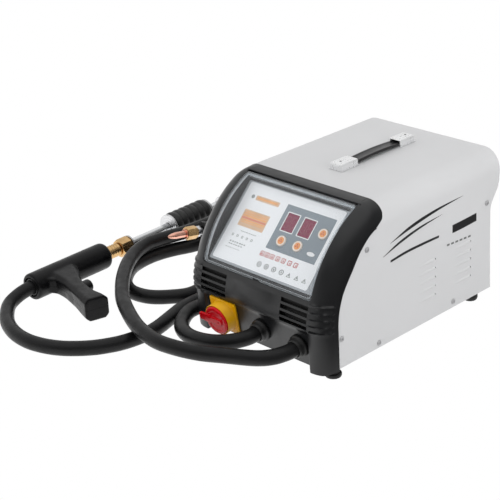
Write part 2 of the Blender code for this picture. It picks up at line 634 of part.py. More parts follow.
# (x, y, z) of each lead's middle line, from the gland to its tool
GUN_LEAD = [
    (0.0945, -0.052, 0.0445), (0.0855, -0.0735, 0.0430), (0.0660, -0.0935, 0.0420),
    (0.0240, -0.1170, OVER), (-0.0230, -0.1420, OVER), (-0.0790, -0.1565, OVER),
    (-0.1210, -0.1560, OVER), (-0.1800, -0.1390, OVER), (-0.2560, -0.1000, OVER),
    (-0.3010, -0.0670, OVER), (-0.3430, -0.0290, OVER), (-0.3820, 0.0150, OVER),
    (-0.4080, 0.0560, OVER), (-0.4200, 0.0920, OVER), (-0.4200, 0.1160, OVER),
    (-0.4150, 0.1450, OVER), (-0.4070, 0.1800, OVER), (-0.4040, 0.2200, OVER),
    (-0.4030, 0.2650, OVER), (-0.3970, 0.3100, OVER), (-0.3800, 0.3520, 0.0385),
    (-0.3500, 0.3800, 0.0320), (-0.3100, 0.3870, 0.0240), (-0.2730, 0.3720, 0.0160),
    (-0.2500, 0.3350, LOW), (-0.2390, 0.2800, LOW), (-0.2365, 0.2000, LOW),
    (-0.2365, 0.1200, LOW), (-0.2365, 0.0650, LOW), (-0.2390, 0.0330, LOW),
    (-0.2584, 0.0059, LOW), (-0.2799, -0.0137, LOW), (-0.3030, -0.0230, LOW),
    (-0.3273, -0.0242, LOW), (-0.3509, -0.0162, LOW), (-0.3726, -0.0020, LOW),
    (-0.3925, 0.0190, LOW), (-0.4092, 0.0450, LOW), (-0.4175, 0.0730, LOW),
    (-0.4200, 0.1000, LOW), (-0.4170, 0.1280, LOW), (-0.4090, 0.1560, LOW),
    (-0.3960, 0.1880, LOW), (-0.3880, 0.2350, LOW), (-0.3920, 0.2850, LOW),
    (-0.3990, 0.3300, LOW), (-0.3940, 0.3700, LOW), (-0.3700, 0.4020, LOW),
    (-0.3200, 0.4180, LOW), (-0.2620, 0.4120, LOW), (-0.2260, 0.3820, LOW),
    (-0.2100, 0.3300, LOW), (-0.2070, 0.2500, LOW), (-0.2070, 0.1500, LOW),
    (-0.2070, 0.0700, LOW), (-0.2070, 0.0140, LOW), (-0.2040, -0.0150, LOW),
    (-0.1950, -0.0450, LOW), (-0.1830, -0.0850, LOW), (-0.1790, -0.1150, LOW),
    (-0.1840, -0.1560, LOW), (-0.1950, -0.1850, LOW), (-0.2130, -0.2130, LOW),
    (-0.2383, -0.2374, LOW), (-0.2607, -0.2521, LOW), (-0.2874, -0.2625, LOW),
    (-0.3180, -0.2680, LOW), (-0.3560, -0.2650, LOW), (-0.3950, -0.2520, LOW),
    (-0.4280, -0.2315, LOW + 0.0005), (-0.4550, -0.2060, 0.0160), (-0.4636, -0.1800, 0.0215),
    (-0.4641, -0.1600, 0.0255), (-0.4647, -0.1490, 0.0262), (-0.4656, -0.1290, 0.0262),
    (-0.4665, -0.1090, 0.0262),
]
EARTH_LEAD = [
    (0.0075, -0.0560, 0.0440), (-0.0080, -0.0780, 0.0410), (-0.0360, -0.0920, 0.0360),
    (-0.0750, -0.0950, 0.0300), (-0.1090, -0.0880, 0.0260), (-0.1380, -0.0720, 0.0240),
    (-0.1600, -0.0470, 0.0230), (-0.1725, -0.0220, 0.0225), (-0.1770, 0.0050, 0.0200),
    (-0.1780, 0.0400, 0.0165), (-0.1780, 0.0900, 0.0165), (-0.1780, 0.1400, 0.0230),
    (-0.1790, 0.1850, 0.0320), (-0.1870, 0.2300, 0.0400), (-0.2100, 0.2730, OVER),
    (-0.2450, 0.3080, OVER), (-0.2830, 0.3340, OVER), (-0.3180, 0.3400, OVER),
    (-0.3430, 0.3270, 0.0405), holder(0.1950), holder(0.1750), holder(0.1450),
]
lead("gun_cable", GLAND_X["gun"], GUN_LEAD)
lead("earth_cable", GLAND_X["earth"], EARTH_LEAD)

# ---------------------------------------------------------------- hand electrode
# forms are (radius, distance from the tip)
STEM_BORE_R = 0.0067
TIP_FORM = [(0, 0.0950), (0.0063, 0.0950), (0.0063, 0.0411), (0.0095, 0.0411), (0.0095, 0.0397),
            (0.0063, 0.0397), (0.0063, 0.0190), (0.0056, 0.0120), (0.0042, 0.0060),
            (0.0022, 0.0010), (0, 0.0)]
COLLAR_FORM = [(STEM_BORE_R, 0.0670), (STEM_BORE_R, 0.0790), (0.0105, 0.0790), (0.0105, 0.0670)]
HANDLE_FORM = [(STEM_BORE_R, 0.0805), (STEM_BORE_R, 0.0980), (0.0137, 0.0980), (0.0137, 0.1880),
               (0.0172, 0.1880), (0.0176, 0.1700), (0.0160, 0.1550), (0.0160, 0.0915),
               (0.0172, 0.0885), (0.0172, 0.0805)]
turned("electrode_tip", "copper", TIP_FORM, HOLDER_TIP, HOLDER_DIR, steps=16)
nut_at = holder(0.0535)
nut = cylinder("electrode_nut", "brass", 0.0130, 0.0240, nut_at, HOLDER_DIR, sides=6)
cut(nut, cylinder("electrode_nut_bore", CUTTER, STEM_BORE_R, 0.05, nut_at, HOLDER_DIR, sides=16))
turned("electrode_collar", "steel", COLLAR_FORM, HOLDER_TIP, HOLDER_DIR, steps=20, closed=True)
turned("electrode_handle", "black", HANDLE_FORM, HOLDER_TIP, HOLDER_DIR, steps=20, closed=True)

# ---------------------------------------------------------------- gun shells and trigger
BARREL_R, BARREL_L = 0.0255, 0.180
GUN_WALL = 0.0025
GRIP_FROM, GRIP_TO = Vector((0.009, -0.1150, 0)), Vector((0.1650, -0.1640, 0))
GRIP_DIR = (GRIP_TO - GRIP_FROM).normalized()
GRIP_L = (GRIP_TO - GRIP_FROM).length
GRIP_ACROSS = 0.0218     # half size at the barrel, in the plane of barrel and grip
GRIP_THICK = 0.0212      # half size at the barrel, across that plane
GRIP_FLARE = 0.0020      # growth of both towards the far end
TRIGGER_X = 0.0790


def gun_turned(name, finish, profile, loc=(0, 0, 0), steps=20, closed=False):
    """A (radius, y) profile turned about an axis along the gun's barrel."""
    return turned(name, finish, profile, loc, ALONG_Y, gun, steps, closed)


def gun_cylinder(name, finish, radius, length, y, x=0, sides=24):
    return cylinder(name, finish, radius, length, (x, y, 0), ALONG_Y, gun, sides)


def grip_form(name, wall, end_wall):
    """The grip's tapered eight-sided form, shrunk by wall and shortened by end_wall."""
    form = bmesh.new()
    length = GRIP_L - end_wall
    stand = Matrix.Translation((0, 0, length / 2)) @ Matrix.Rotation(math.pi / 8, 4, "Z")
    bmesh.ops.create_cone(form, cap_ends=True, segments=8, radius1=1.0, radius2=1.0,
                          depth=length, matrix=stand)
    for vert in form.verts:
        flare = GRIP_FLARE * vert.co.z / GRIP_L
        vert.co.x *= GRIP_ACROSS + flare - wall
        vert.co.y *= GRIP_THICK + flare - wall
    turn = Matrix(((-GRIP_DIR.y, 0, GRIP_DIR.x, GRIP_FROM.x),
                   (GRIP_DIR.x, 0, GRIP_DIR.y, GRIP_FROM.y),
                   (0, 1, 0, 0), (0, 0, 0, 1)))
    bmesh.ops.transform(form, matrix=turn, verts=form.verts)
    return place(name, mesh_from(form, name), CUTTER, parent=gun)


BARREL_FORM = [(0, 0), (0.0228, 0), (BARREL_R, -0.003), (BARREL_R, -BARREL_L + 0.004),
               (0.0230, -BARREL_L), (0, -BARREL_L)]


def gun_half(name, side):
    """Half shell of barrel and grip, above (side 1) or below (side -1) the split plane."""
    half = gun_turned(name, "black", BARREL_FORM, steps=24)
    join(half, grip_form(name + "_grip", 0.0, 0.0))
    cut(half, gun_cylinder(name + "_bore", CUTTER, BARREL_R - GUN_WALL, BARREL_L - 0.010,
                           -BARREL_L / 2))
    cut(half, grip_form(name + "_grip_hollow", GUN_WALL, 0.004))
    cut(half, gun_cylinder(name + "_nose_hole", CUTTER, 0.0133, 0.03, -0.002))
    cut(half, gun_cylinder(name + "_tail_hole", CUTTER, LEAD_BORE_R, 0.03, -BARREL_L + 0.002))
    cut(half, gun_cylinder(name + "_trigger_hole", CUTTER, 0.0124, 0.030, -0.1230, TRIGGER_X,
                           sides=20))
    # removes the other half and half the gap between the shells
    cut(half, box(name + "_split", CUTTER, (0.5, 0.6, 0.10), (0, 0, -side * (0.05 - GAP / 2)),
                  parent=gun))


gun_half("gun_shell_upper", 1)
gun_half("gun_shell_lower", -1)
TRIGGER_FORM = [(0, 0.0180), (0.0096, 0.0180), (0.0120, 0.0156), (0.0120, -0.0100), (0, -0.0100)]
gun_turned("gun_trigger", "black", TRIGGER_FORM, (TRIGGER_X, -0.1240, 0))

# ---------------------------------------------------------------- gun nose, rod and slide hammer
ROD_R = 0.0085
ROD_BORE_R = ROD_R + GAP
NOSE_FORM = [(0, 0.0350), (0.0122, 0.0350), (0.0130, 0.0340), (0.0130, -0.0300),
             (0.0080, -0.0310), (0.0080, -0.0600), (0, -0.0600)]
gun_turned("nose_fitting", "brass", NOSE_FORM)
chuck = gun_cylinder("chuck_nut", "brass", 0.0185, 0.0295, 0.04725, sides=6)
cut(chuck, gun_cylinder("chuck_bore", CUTTER, ROD_BORE_R, 0.05, 0.0560, sides=20))
cut(chuck, gun_cylinder("chuck_thread", CUTTER, 0.0134, 0.0200, 0.0353 - 0.0100, sides=20))
WASHER_FORM = [(ROD_BORE_R, 0.0624), (ROD_BORE_R, 0.0660), (0.0180, 0.0660), (0.0180, 0.0624)]
gun_turned("lock_washer", "zinc", WASHER_FORM, closed=True)
ROD_FORM = [(0, 0.3280), (ROD_R - 0.0008, 0.3280), (ROD_R, 0.3270), (ROD_R, 0.0356), (0, 0.0356)]
gun_turned("slide_rod", "steel", ROD_FORM)

HAMMER_FROM, HAMMER_TO = 0.170, 0.278   # along the rod, from the gun's nose
HAMMER_FORM = [
    (ROD_BORE_R, HAMMER_FROM), (ROD_BORE_R, HAMMER_TO), (0.0236, HAMMER_TO),
    (0.0240, HAMMER_TO - 0.005), (0.0160, HAMMER_TO - 0.005), (0.0160, HAMMER_FROM + 0.006),
    (0.0245, HAMMER_FROM + 0.006), (0.0245, HAMMER_FROM),
]
gun_turned("hammer_weight", "steel", HAMMER_FORM, steps=24, closed=True)
# ribbed grip between the hammer's flanges
RIBS = 6
RIB_PITCH = (HAMMER_TO - HAMMER_FROM - 0.0120) / RIBS
RIB_FORM = ((0.0255, 0.15), (0.0255, 0.55), (0.0234, 0.75), (0.0234, 0.95))   # (radius, pitches)
ribs = [(0.0163, HAMMER_TO - 0.0053), (0.0240, HAMMER_TO - 0.0053)]
for k in range(RIBS):
    rib_top = HAMMER_TO - 0.0057 - RIB_PITCH * k
    ribs += [(radius, rib_top - RIB_PITCH * part) for radius, part in RIB_FORM]
# the last groove point gives way to the grip's end face
ribs[-1:] = [(0.0240, HAMMER_FROM + 0.0063), (0.0163, HAMMER_FROM + 0.0063)]
gun_turned("hammer_grip", "rubber", ribs, steps=16, closed=True)
STOP_FORM = [(0, 0.3420), (0.0115, 0.3420), (0.0145, 0.3390), (0.0145, 0.3180),
             (ROD_BORE_R, 0.3180), (ROD_BORE_R, 0.3283), (0, 0.3283)]
gun_turned("rod_end_stop", "steel", STOP_FORM)

# ---------------------------------------------------------------- transformer and copper bars
INSIDE_Z = FOOT + 0.0022   # where the parts inside stand
CORE_H = 0.125
CORE_X, CORE_Y = 0.020, 0.225
core_at = (CORE_X, CORE_Y, INSIDE_Z + CORE_H / 2)
core = box("transformer_core", "iron", (0.150, 0.070, CORE_H), core_at)
for side, _ in SIDES:
    cut(core, box(f"core_window_{side}", CUTTER, (0.026, 0.10, 0.076),
                  (CORE_X + side * 0.0380, *core_at[1:])))
coil = box("primary_coil", "varnish", (0.0990, 0.122, 0.0720), core_at, bevel=0.006, segments=1)
cut(coil, box("coil_hollow", CUTTER, (0.0506, 0.0706, 0.10), core_at))
# (y, z above GLAND_Z)
BAR = [(0.0230, 0.004), (0.0230, 0.0105), (0.140, 0.0105), (0.140, 0.060), (0.1465, 0.060),
       (0.1465, 0.004)]
for label, x in GLANDS:
    plate(f"secondary_bar_{label}", "copper", [(y, GLAND_Z + z) for y, z in BAR], 0.0125,
          Matrix.Translation((x, 0, 0)) @ YZ)

# ---------------------------------------------------------------- heat sink and thyristor module
SINK_Y, SINK_H = 0.205, 0.110
FIN_PITCH = 0.0170
sink = box("heat_sink", "aluminium", (0.040, 0.140, SINK_H),
           (-0.105, SINK_Y, INSIDE_Z + SINK_H / 2))
for k in range(6):
    cut(sink, box(f"fin_gap_{k}", CUTTER, (0.030, 0.16, 0.0110),
                  (-0.112, SINK_Y, INSIDE_Z + 0.0125 + FIN_PITCH * k)))
box("thyristor_module", "black", (0.028, 0.092, 0.034), (-0.0705, SINK_Y, INSIDE_Z + 0.0700),
    bevel=0.0015, segments=1)

# ---------------------------------------------------------------- fan
FAN_Y = 0.3820
FAN_SIZE = 0.086
BLADES = 7
BLADE_REACH = 0.0260     # from the axis to a blade's middle
BLADE_PITCH = math.radians(38)
fan_frame = box("fan_frame", "black", (FAN_SIZE, 0.0240, FAN_SIZE), (FAN_X, FAN_Y, FAN_Z),
                bevel=0.003, segments=1)
cut(fan_frame, cylinder("fan_throat", CUTTER, 0.0395, 0.05, (FAN_X, FAN_Y, FAN_Z), ALONG_Y,
                        sides=32))
for k in range(3):
    join(fan_frame, box(f"fan_spoke_{k}", CUTTER, (0.082, 0.0030, 0.0050),
                        (FAN_X, FAN_Y - 0.0095, FAN_Z), (0, math.radians(60 * k + 15), 0)))
HUB_FORM = [(0, 0.0100), (0.0160, 0.0100), (0.0165, 0.0090), (0.0165, -0.0070), (0, -0.0070)]
rotor = turned("fan_rotor", "black", HUB_FORM, (FAN_X, FAN_Y + 0.0005, FAN_Z), ALONG_Y, steps=20)
for k in range(BLADES):
    angle = math.tau * k / BLADES
    blade = box(f"blade_{k}", CUTTER, (0.0250, 0.0025, 0.0140),
                (FAN_X + BLADE_REACH * math.cos(angle), FAN_Y + 0.0020,
                 FAN_Z - BLADE_REACH * math.sin(angle)))
    blade.rotation_mode = "QUATERNION"
    blade.rotation_quaternion = (Matrix.Rotation(angle, 3, "Y").to_quaternion()
                                 @ Matrix.Rotation(BLADE_PITCH, 3, "X").to_quaternion())
    join(rotor, blade)

# ---------------------------------------------------------------- bottom centre at the origin
bpy.context.view_layer.update()
graph = bpy.context.evaluated_depsgraph_get()
corners = []   # lowest and highest corner of each part
for obj in parts.objects:
    if obj.type == "EMPTY":
        continue
    shape = obj.evaluated_get(graph)
    points = [shape.matrix_world @ vert.co for vert in shape.to_mesh().vertices]
    corners += [Vector(map(min, zip(*points))), Vector(map(max, zip(*points)))]
    shape.to_mesh_clear()
low = Vector(map(min, zip(*corners)))
high = Vector(map(max, zip(*corners)))
root.location = (-(low.x + high.x) / 2, -(low.y + high.y) / 2, -low.z)
bpy.context.view_layer.update()
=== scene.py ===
import bpy, bmesh, math, random
from mathutils import Matrix, Vector, noise


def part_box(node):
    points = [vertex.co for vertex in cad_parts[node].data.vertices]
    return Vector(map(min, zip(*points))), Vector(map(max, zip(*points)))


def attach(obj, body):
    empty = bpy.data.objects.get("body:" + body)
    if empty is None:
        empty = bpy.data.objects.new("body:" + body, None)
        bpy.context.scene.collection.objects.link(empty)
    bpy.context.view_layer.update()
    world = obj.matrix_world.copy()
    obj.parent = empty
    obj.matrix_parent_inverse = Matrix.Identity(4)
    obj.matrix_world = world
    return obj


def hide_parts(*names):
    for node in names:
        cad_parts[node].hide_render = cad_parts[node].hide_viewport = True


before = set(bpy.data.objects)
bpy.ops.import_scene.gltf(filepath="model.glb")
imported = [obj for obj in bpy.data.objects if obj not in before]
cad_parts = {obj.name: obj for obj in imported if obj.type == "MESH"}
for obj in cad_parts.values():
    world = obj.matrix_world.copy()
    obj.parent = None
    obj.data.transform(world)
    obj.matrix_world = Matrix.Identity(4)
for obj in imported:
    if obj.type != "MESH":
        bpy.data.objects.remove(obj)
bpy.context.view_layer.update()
R = math.radians

# ------------------------------------------------------------------ where the machine stands in the row frame
lo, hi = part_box("top_cover")
foot_lo, foot_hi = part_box("foot_rear_left")
OFF = Vector(((lo.x + hi.x) / 2, (foot_lo.y + foot_hi.y) / 2 - 0.3660, 0.0))   # x 0 middle, y 0 front bottom edge
FOOT = 0.014
TOP = FOOT + 0.2536
EDGE_R = 0.037
SIDE = 0.160
at = lambda p: Vector(p) + OFF

# ------------------------------------------------------------------ material kit
def new_mat(name, color, rough, metal=0.0, spec=0.5, coat=0.0, coat_rough=0.1):
    m = bpy.data.materials.new(name)
    m.use_nodes = True
    b = m.node_tree.nodes["Principled BSDF"]
    b.inputs["Base Color"].default_value = (*color, 1)
    b.inputs["Roughness"].default_value = rough
    b.inputs["Metallic"].default_value = metal
    b.inputs["Specular IOR Level"].default_value = spec
    b.inputs["Coat Weight"].default_value = coat
    b.inputs["Coat Roughness"].default_value = coat_rough
    return m, m.node_tree, b


def nd(nt, kind, **values):
    n = nt.nodes.new(kind)
    for k, v in values.items():
        if hasattr(n, k):
            setattr(n, k, v)
        else:
            n.inputs[k].default_value = v
    return n


def coords(nt, scale=(1, 1, 1)):
    tc = nd(nt, "ShaderNodeTexCoord")
    mp = nd(nt, "ShaderNodeMapping")
    mp.inputs["Scale"].default_value = scale
    nt.links.new(tc.outputs["Object"], mp.inputs["Vector"])
    return mp.outputs["Vector"]


def noise_tex(nt, vec, scale, detail=4.0, rough=0.55):
    n = nd(nt, "ShaderNodeTexNoise")
    n.inputs["Scale"].default_value = scale
    n.inputs["Detail"].default_value = detail
    n.inputs["Roughness"].default_value = rough
    nt.links.new(vec, n.inputs["Vector"])
    return n.outputs["Fac"]


def remap(nt, val, a, b, c, d):
    n = nd(nt, "ShaderNodeMapRange")
    for i, v in zip(("From Min", "From Max", "To Min", "To Max"), (a, b, c, d)):
        n.inputs[i].default_value = v
    nt.links.new(val, n.inputs["Value"])
    return n.outputs["Result"]


def mix_color(nt, fac, a, b):
    n = nd(nt, "ShaderNodeMix", data_type="RGBA")
    for sock, v in ((n.inputs[0], fac), (n.inputs[6], a), (n.inputs[7], b)):
        if isinstance(v, (tuple, list)):
            sock.default_value = (*v, 1) if len(v) == 3 else v
        elif isinstance(v, (int, float)):
            sock.default_value = v
        else:
            nt.links.new(v, sock)
    return n.outputs[2]


def bump(nt, height, strength, dist, normal=None):
    n = nd(nt, "ShaderNodeBump")
    n.inputs["Strength"].default_value = strength
    n.inputs["Distance"].default_value = dist
    nt.links.new(height, n.inputs["Height"])
    if normal is not None:
        nt.links.new(normal, n.inputs["Normal"])
    return n.outputs["Normal"]


def surface(name, color, rough, metal=0.0, grain=900, grain_amt=0.1, grain_mm=0.05, tone=0.06, tone_scale=9, rough_var=0.08,
            stretch=(1, 1, 1), coat=0.0, coat_rough=0.1, spec=0.5, dust=0.0, dust_color=(0.5, 0.5, 0.5), dust_scale=40, wear=0.0, wear_color=(0.6, 0.6, 0.6)):
    """A solid finish: tone drifts over the part, roughness varies with it, and a fine grain lifts the surface."""
    m, nt, b = new_mat(name, color, rough, metal, spec, coat, coat_rough)
    vec = coords(nt, stretch)
    broad = noise_tex(nt, vec, tone_scale, 3)
    fine = noise_tex(nt, vec, grain, 2, 0.6)
    dark = tuple(max(0, c * (1 - tone)) for c in color)
    light = tuple(min(1, c * (1 + tone)) for c in color)
    col = mix_color(nt, remap(nt, broad, 0.3, 0.7, 0, 1), dark, light)
    if dust:
        spots = noise_tex(nt, vec, dust_scale, 6, 0.7)
        col = mix_color(nt, remap(nt, spots, 0.60, 0.75, 0.0, dust), col, dust_color)
    if wear:
        geo = nd(nt, "ShaderNodeNewGeometry")
        breakup = noise_tex(nt, vec, 120, 4, 0.7)
        edge = remap(nt, geo.outputs["Pointiness"], 0.515, 0.58, 0.0, 1.0)
        mul = nd(nt, "ShaderNodeMath", operation="MULTIPLY")
        nt.links.new(edge, mul.inputs[0])
        nt.links.new(remap(nt, breakup, 0.42, 0.62, 0.0, wear), mul.inputs[1])
        col = mix_color(nt, mul.outputs[0], col, wear_color)
    nt.links.new(col, b.inputs["Base Color"])
    nt.links.new(remap(nt, noise_tex(nt, vec, tone_scale * 5, 4), 0.3, 0.7, max(0.02, rough - rough_var), min(1, rough + rough_var)), b.inputs["Roughness"])
    nt.links.new(bump(nt, fine, grain_amt, grain_mm / 1000), b.inputs["Normal"])
    return m


PAINT = surface("powder_coat_grey", (0.635, 0.637, 0.645), 0.42, grain=1100, grain_amt=0.22, grain_mm=0.05, tone=0.015, tone_scale=5, rough_var=0.05, spec=0.30)
# darker copy of the cover paint for the inside: painted shade, not used below
PAINT_SHADED = surface("powder_coat_shaded_inside", (0.45, 0.45, 0.44), 0.5, grain=900, tone=0.04)
CHARCOAL = surface("charcoal_moulding", (0.0060, 0.0063, 0.0072), 0.36, grain=1500, grain_amt=0.35, grain_mm=0.06, tone=0.10, tone_scale=7, rough_var=0.06, spec=0.52)
BLACK = surface("black_moulding", (0.004, 0.004, 0.0044), 0.36, grain=1300, grain_amt=0.30, grain_mm=0.05, tone=0.15, tone_scale=12, rough_var=0.08, dust=0.06, dust_color=(0.05, 0.05, 0.05), dust_scale=60, spec=0.36)
GUN_BLACK = surface("gun_moulding", (0.0036, 0.0036, 0.0041), 0.38, grain=1000, grain_amt=0.45, grain_mm=0.07, tone=0.18, tone_scale=14, rough_var=0.09, dust=0.06, dust_color=(0.05, 0.05, 0.05), dust_scale=45, spec=0.20)
RUBBER = surface("lead_rubber", (0.0060, 0.0060, 0.0064), 0.42, grain=420, grain_amt=0.30, grain_mm=0.12, tone=0.22, tone_scale=10, rough_var=0.10, dust=0.12, dust_color=(0.06, 0.06, 0.06), dust_scale=30, spec=0.26)
SOFT_RUBBER = surface("moulded_rubber", (0.0050, 0.0050, 0.0052), 0.44, grain=900, grain_amt=0.35, grain_mm=0.08, tone=0.2, tone_scale=20, rough_var=0.08)
STEEL = surface("polished_steel", (0.74, 0.75, 0.76), 0.20, metal=1.0, grain=240, grain_amt=0.10, grain_mm=0.03, tone=0.06, tone_scale=20, rough_var=0.07, stretch=(1, 1, 1))
TURNED = surface("turned_steel", (0.64, 0.64, 0.65), 0.24, metal=1.0, grain=1400, grain_amt=0.25, grain_mm=0.03, tone=0.08, tone_scale=30, rough_var=0.08)
ZINC = surface("zinc_plate", (0.78, 0.78, 0.77), 0.36, metal=1.0, grain=1200, grain_amt=0.2, grain_mm=0.03, tone=0.08, tone_scale=60, rough_var=0.08)
SCREW = surface("screw_zinc", (0.52, 0.52, 0.53), 0.40, metal=0.35, grain=1200, grain_amt=0.2, grain_mm=0.03, tone=0.08, tone_scale=60, rough_var=0.08)
BRASS = surface("machined_brass", (0.62, 0.40, 0.18), 0.27, metal=1.0, grain=700, grain_amt=0.2, grain_mm=0.04, tone=0.16, tone_scale=60, rough_var=0.08, wear=0.5, wear_color=(0.80, 0.62, 0.38))
COPPER = surface("electrode_copper", (0.86, 0.45, 0.34), 0.26, metal=1.0, grain=900, grain_amt=0.2, grain_mm=0.03, tone=0.12, tone_scale=80, rough_var=0.08)
RED = surface("red_knob", (0.62, 0.002, 0.009), 0.24, grain=900, grain_amt=0.08, grain_mm=0.03, tone=0.08, tone_scale=20, rough_var=0.05, coat=0.04, coat_rough=0.12, spec=0.22)
YELLOW = surface("yellow_plate", (0.82, 0.42, 0.004), 0.32, grain=900, grain_amt=0.10, grain_mm=0.03, tone=0.06, tone_scale=20, rough_var=0.05, coat=0.05, coat_rough=0.15, spec=0.25)
OVERLAY = surface("overlay_film", (0.90, 0.912, 0.925), 0.34, grain=1800, grain_amt=0.12, grain_mm=0.02, tone=0.01, tone_scale=8, rough_var=0.03)
PANEL_GREY = surface("panel_plate", (0.36, 0.38, 0.40), 0.40, grain=1500, grain_amt=0.2, grain_mm=0.03, tone=0.04)
INK_GREY = surface("ink_blue_grey", (0.235, 0.275, 0.305), 0.36, grain=1600, grain_amt=0.1, grain_mm=0.02, tone=0.03)
INK_WHITE = surface("ink_white", (0.86, 0.86, 0.86), 0.4, grain=1600, grain_amt=0.1, grain_mm=0.02, tone=0.02)
INK_BLACK = surface("ink_black", (0.016, 0.016, 0.017), 0.35, grain=1200, grain_amt=0.15, grain_mm=0.02, tone=0.12)
INK_MARK = surface("ink_dark_grey", (0.15, 0.16, 0.155), 0.4, grain=1200, grain_amt=0.1, grain_mm=0.02, tone=0.08)
INK_DUST = surface("ink_mid_grey", (0.34, 0.36, 0.35), 0.4, grain=1200, grain_amt=0.1, grain_mm=0.02, tone=0.08)
INK_RED = surface("ink_deep_red", (0.52, 0.10, 0.08), 0.4, grain=1200, grain_amt=0.1, grain_mm=0.02, tone=0.10)
INK_PINK = surface("ink_red", (0.74, 0.26, 0.17), 0.4, grain=1200, grain_amt=0.1, grain_mm=0.02, tone=0.10)
INK_ORANGE = surface("ink_orange", (0.86, 0.42, 0.16), 0.38, grain=1200, grain_amt=0.1, grain_mm=0.02, tone=0.10, tone_scale=60)
INK_TAN = surface("ink_tan", (0.74, 0.50, 0.33), 0.38, grain=1200, grain_amt=0.1, grain_mm=0.02, tone=0.12, tone_scale=60)
CREAM = surface("button_rim", (0.88, 0.76, 0.66), 0.32, grain=1200, grain_amt=0.08, grain_mm=0.02, tone=0.03)
BUTTON = surface("button_orange", (0.84, 0.34, 0.11), 0.30, grain=1200, grain_amt=0.08, grain_mm=0.02, tone=0.08, tone_scale=60)
STRAP = surface("strap_vinyl", (0.008, 0.008, 0.009), 0.34, grain=600, grain_amt=0.5, grain_mm=0.12, tone=0.15, tone_scale=30, rough_var=0.08)
CAP = surface("cast_cap", (0.80, 0.805, 0.81), 0.30, metal=0.45, grain=900, grain_amt=0.10, grain_mm=0.03, tone=0.03, tone_scale=40, rough_var=0.05)
IRON = surface("lamination_steel", (0.16, 0.16, 0.17), 0.5, metal=0.9, grain=500, grain_amt=0.6, grain_mm=0.3, tone=0.2, stretch=(1, 6, 1))
VARNISH = surface("varnished_winding", (0.42, 0.13, 0.04), 0.28, metal=0.4, grain=260, grain_amt=0.8, grain_mm=0.6, tone=0.2, stretch=(1, 1, 5), coat=0.6)
BOARD = surface("circuit_board_green", (0.02, 0.17, 0.07), 0.38, grain=300, grain_amt=0.2, grain_mm=0.08, tone=0.2, tone_scale=60)
ALU = surface("extruded_aluminium", (0.72, 0.72, 0.74), 0.34, metal=1.0, grain=500, grain_amt=0.3, grain_mm=0.08, tone=0.08, stretch=(1, 0.1, 1))
SEGMENT = surface("display_segment", (0.22, 0.035, 0.06), 0.3, grain=900, grain_amt=0.05, tone=0.08)
DARK = surface("deep_black", (0.004, 0.004, 0.004), 0.7, grain=900, grain_amt=0.05, tone=0.1)


def display_material():
    m, nt, b = new_mat("display_red", (0.10, 0.006, 0.02), 0.12, spec=0.5, coat=0.4, coat_rough=0.05)
    vec = coords(nt)
    col = mix_color(nt, remap(nt, noise_tex(nt, vec, 300, 3), 0.35, 0.65, 0, 1), (0.135, 0.008, 0.036), (0.235, 0.016, 0.066))
    nt.links.new(col, b.inputs["Base Color"])
    # painted glow: a faint red emission on the window, though its segments are unlit
    b.inputs["Emission Color"].default_value = (0.5, 0.02, 0.06, 1)
    b.inputs["Emission Strength"].default_value = 0.05
    return m


def visor_material(name, tint, gloss_lo, gloss_hi, rough):
    """Thin clear polycarbonate: mostly see-through, brighter reflection at grazing angles."""
    m = bpy.data.materials.new(name)
    m.use_nodes = True
    nt = m.node_tree
    b = nt.nodes["Principled BSDF"]
    out = nt.nodes["Material Output"]
    b.inputs["Base Color"].default_value = (0.93, 0.95, 0.97, 1)
    b.inputs["Roughness"].default_value = rough
    b.inputs["Specular IOR Level"].default_value = 0.8
    clear = nd(nt, "ShaderNodeBsdfTransparent")
    clear.inputs["Color"].default_value = (*tint, 1)
    facing = nd(nt, "ShaderNodeLayerWeight")
    facing.inputs["Blend"].default_value = 0.35
    fac = remap(nt, facing.outputs["Facing"], 0.0, 1.0, gloss_lo, gloss_hi)
    vec = coords(nt)
    haze = remap(nt, noise_tex(nt, vec, 22, 5, 0.6), 0.35, 0.75, 0.0, 0.008)
    add = nd(nt, "ShaderNodeMath", operation="ADD")
    nt.links.new(fac, add.inputs[0])
    nt.links.new(haze, add.inputs[1])
    mix = nd(nt, "ShaderNodeMixShader")
    nt.links.new(add.outputs[0], mix.inputs[0])
    nt.links.new(clear.outputs[0], mix.inputs[1])
    nt.links.new(b.outputs[0], mix.inputs[2])
    nt.links.new(mix.outputs[0], out.inputs["Surface"])
    return m


DISPLAY = display_material()
VISOR = visor_material("clear_polycarbonate", (0.985, 0.99, 0.995), 0.008, 0.14, 0.05)
VISOR_EDGE = visor_material("polycarbonate_border", (0.93, 0.945, 0.955), 0.03, 0.30, 0.10)
# painted highlight: a mostly opaque whitish finish for the thin lines along the visor border
VISOR_HIGHLIGHT_LINE = visor_material("painted_edge_highlight", (0.78, 0.81, 0.84), 0.50, 0.80, 0.16)

# ------------------------------------------------------------------ mesh kit
def finish_bm(name, bm, mats, body="root", smooth=35, recalc=True, loc=None, matrix=None):
    if recalc:
        bmesh.ops.recalc_face_normals(bm, faces=bm.faces)
    me = bpy.data.meshes.new(name)
    bm.to_mesh(me)
    bm.free()
    for m in (mats if isinstance(mats, (list, tuple)) else [mats]):
        me.materials.append(m)
    o = bpy.data.objects.new(name, me)
    bpy.context.scene.collection.objects.link(o)
    if smooth:
        me.shade_smooth()
        me.set_sharp_from_angle(angle=R(smooth))
    if matrix is not None:
        o.matrix_world = matrix
    else:
        o.location = OFF if loc is None else loc
    if body:
        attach(o, body)
    return o


def remove(*objs):
    for o in objs:
        me = o.data
        bpy.data.objects.remove(o, do_unlink=True)
        if isinstance(me, bpy.types.Mesh) and me.users == 0:
            bpy.data.meshes.remove(me)


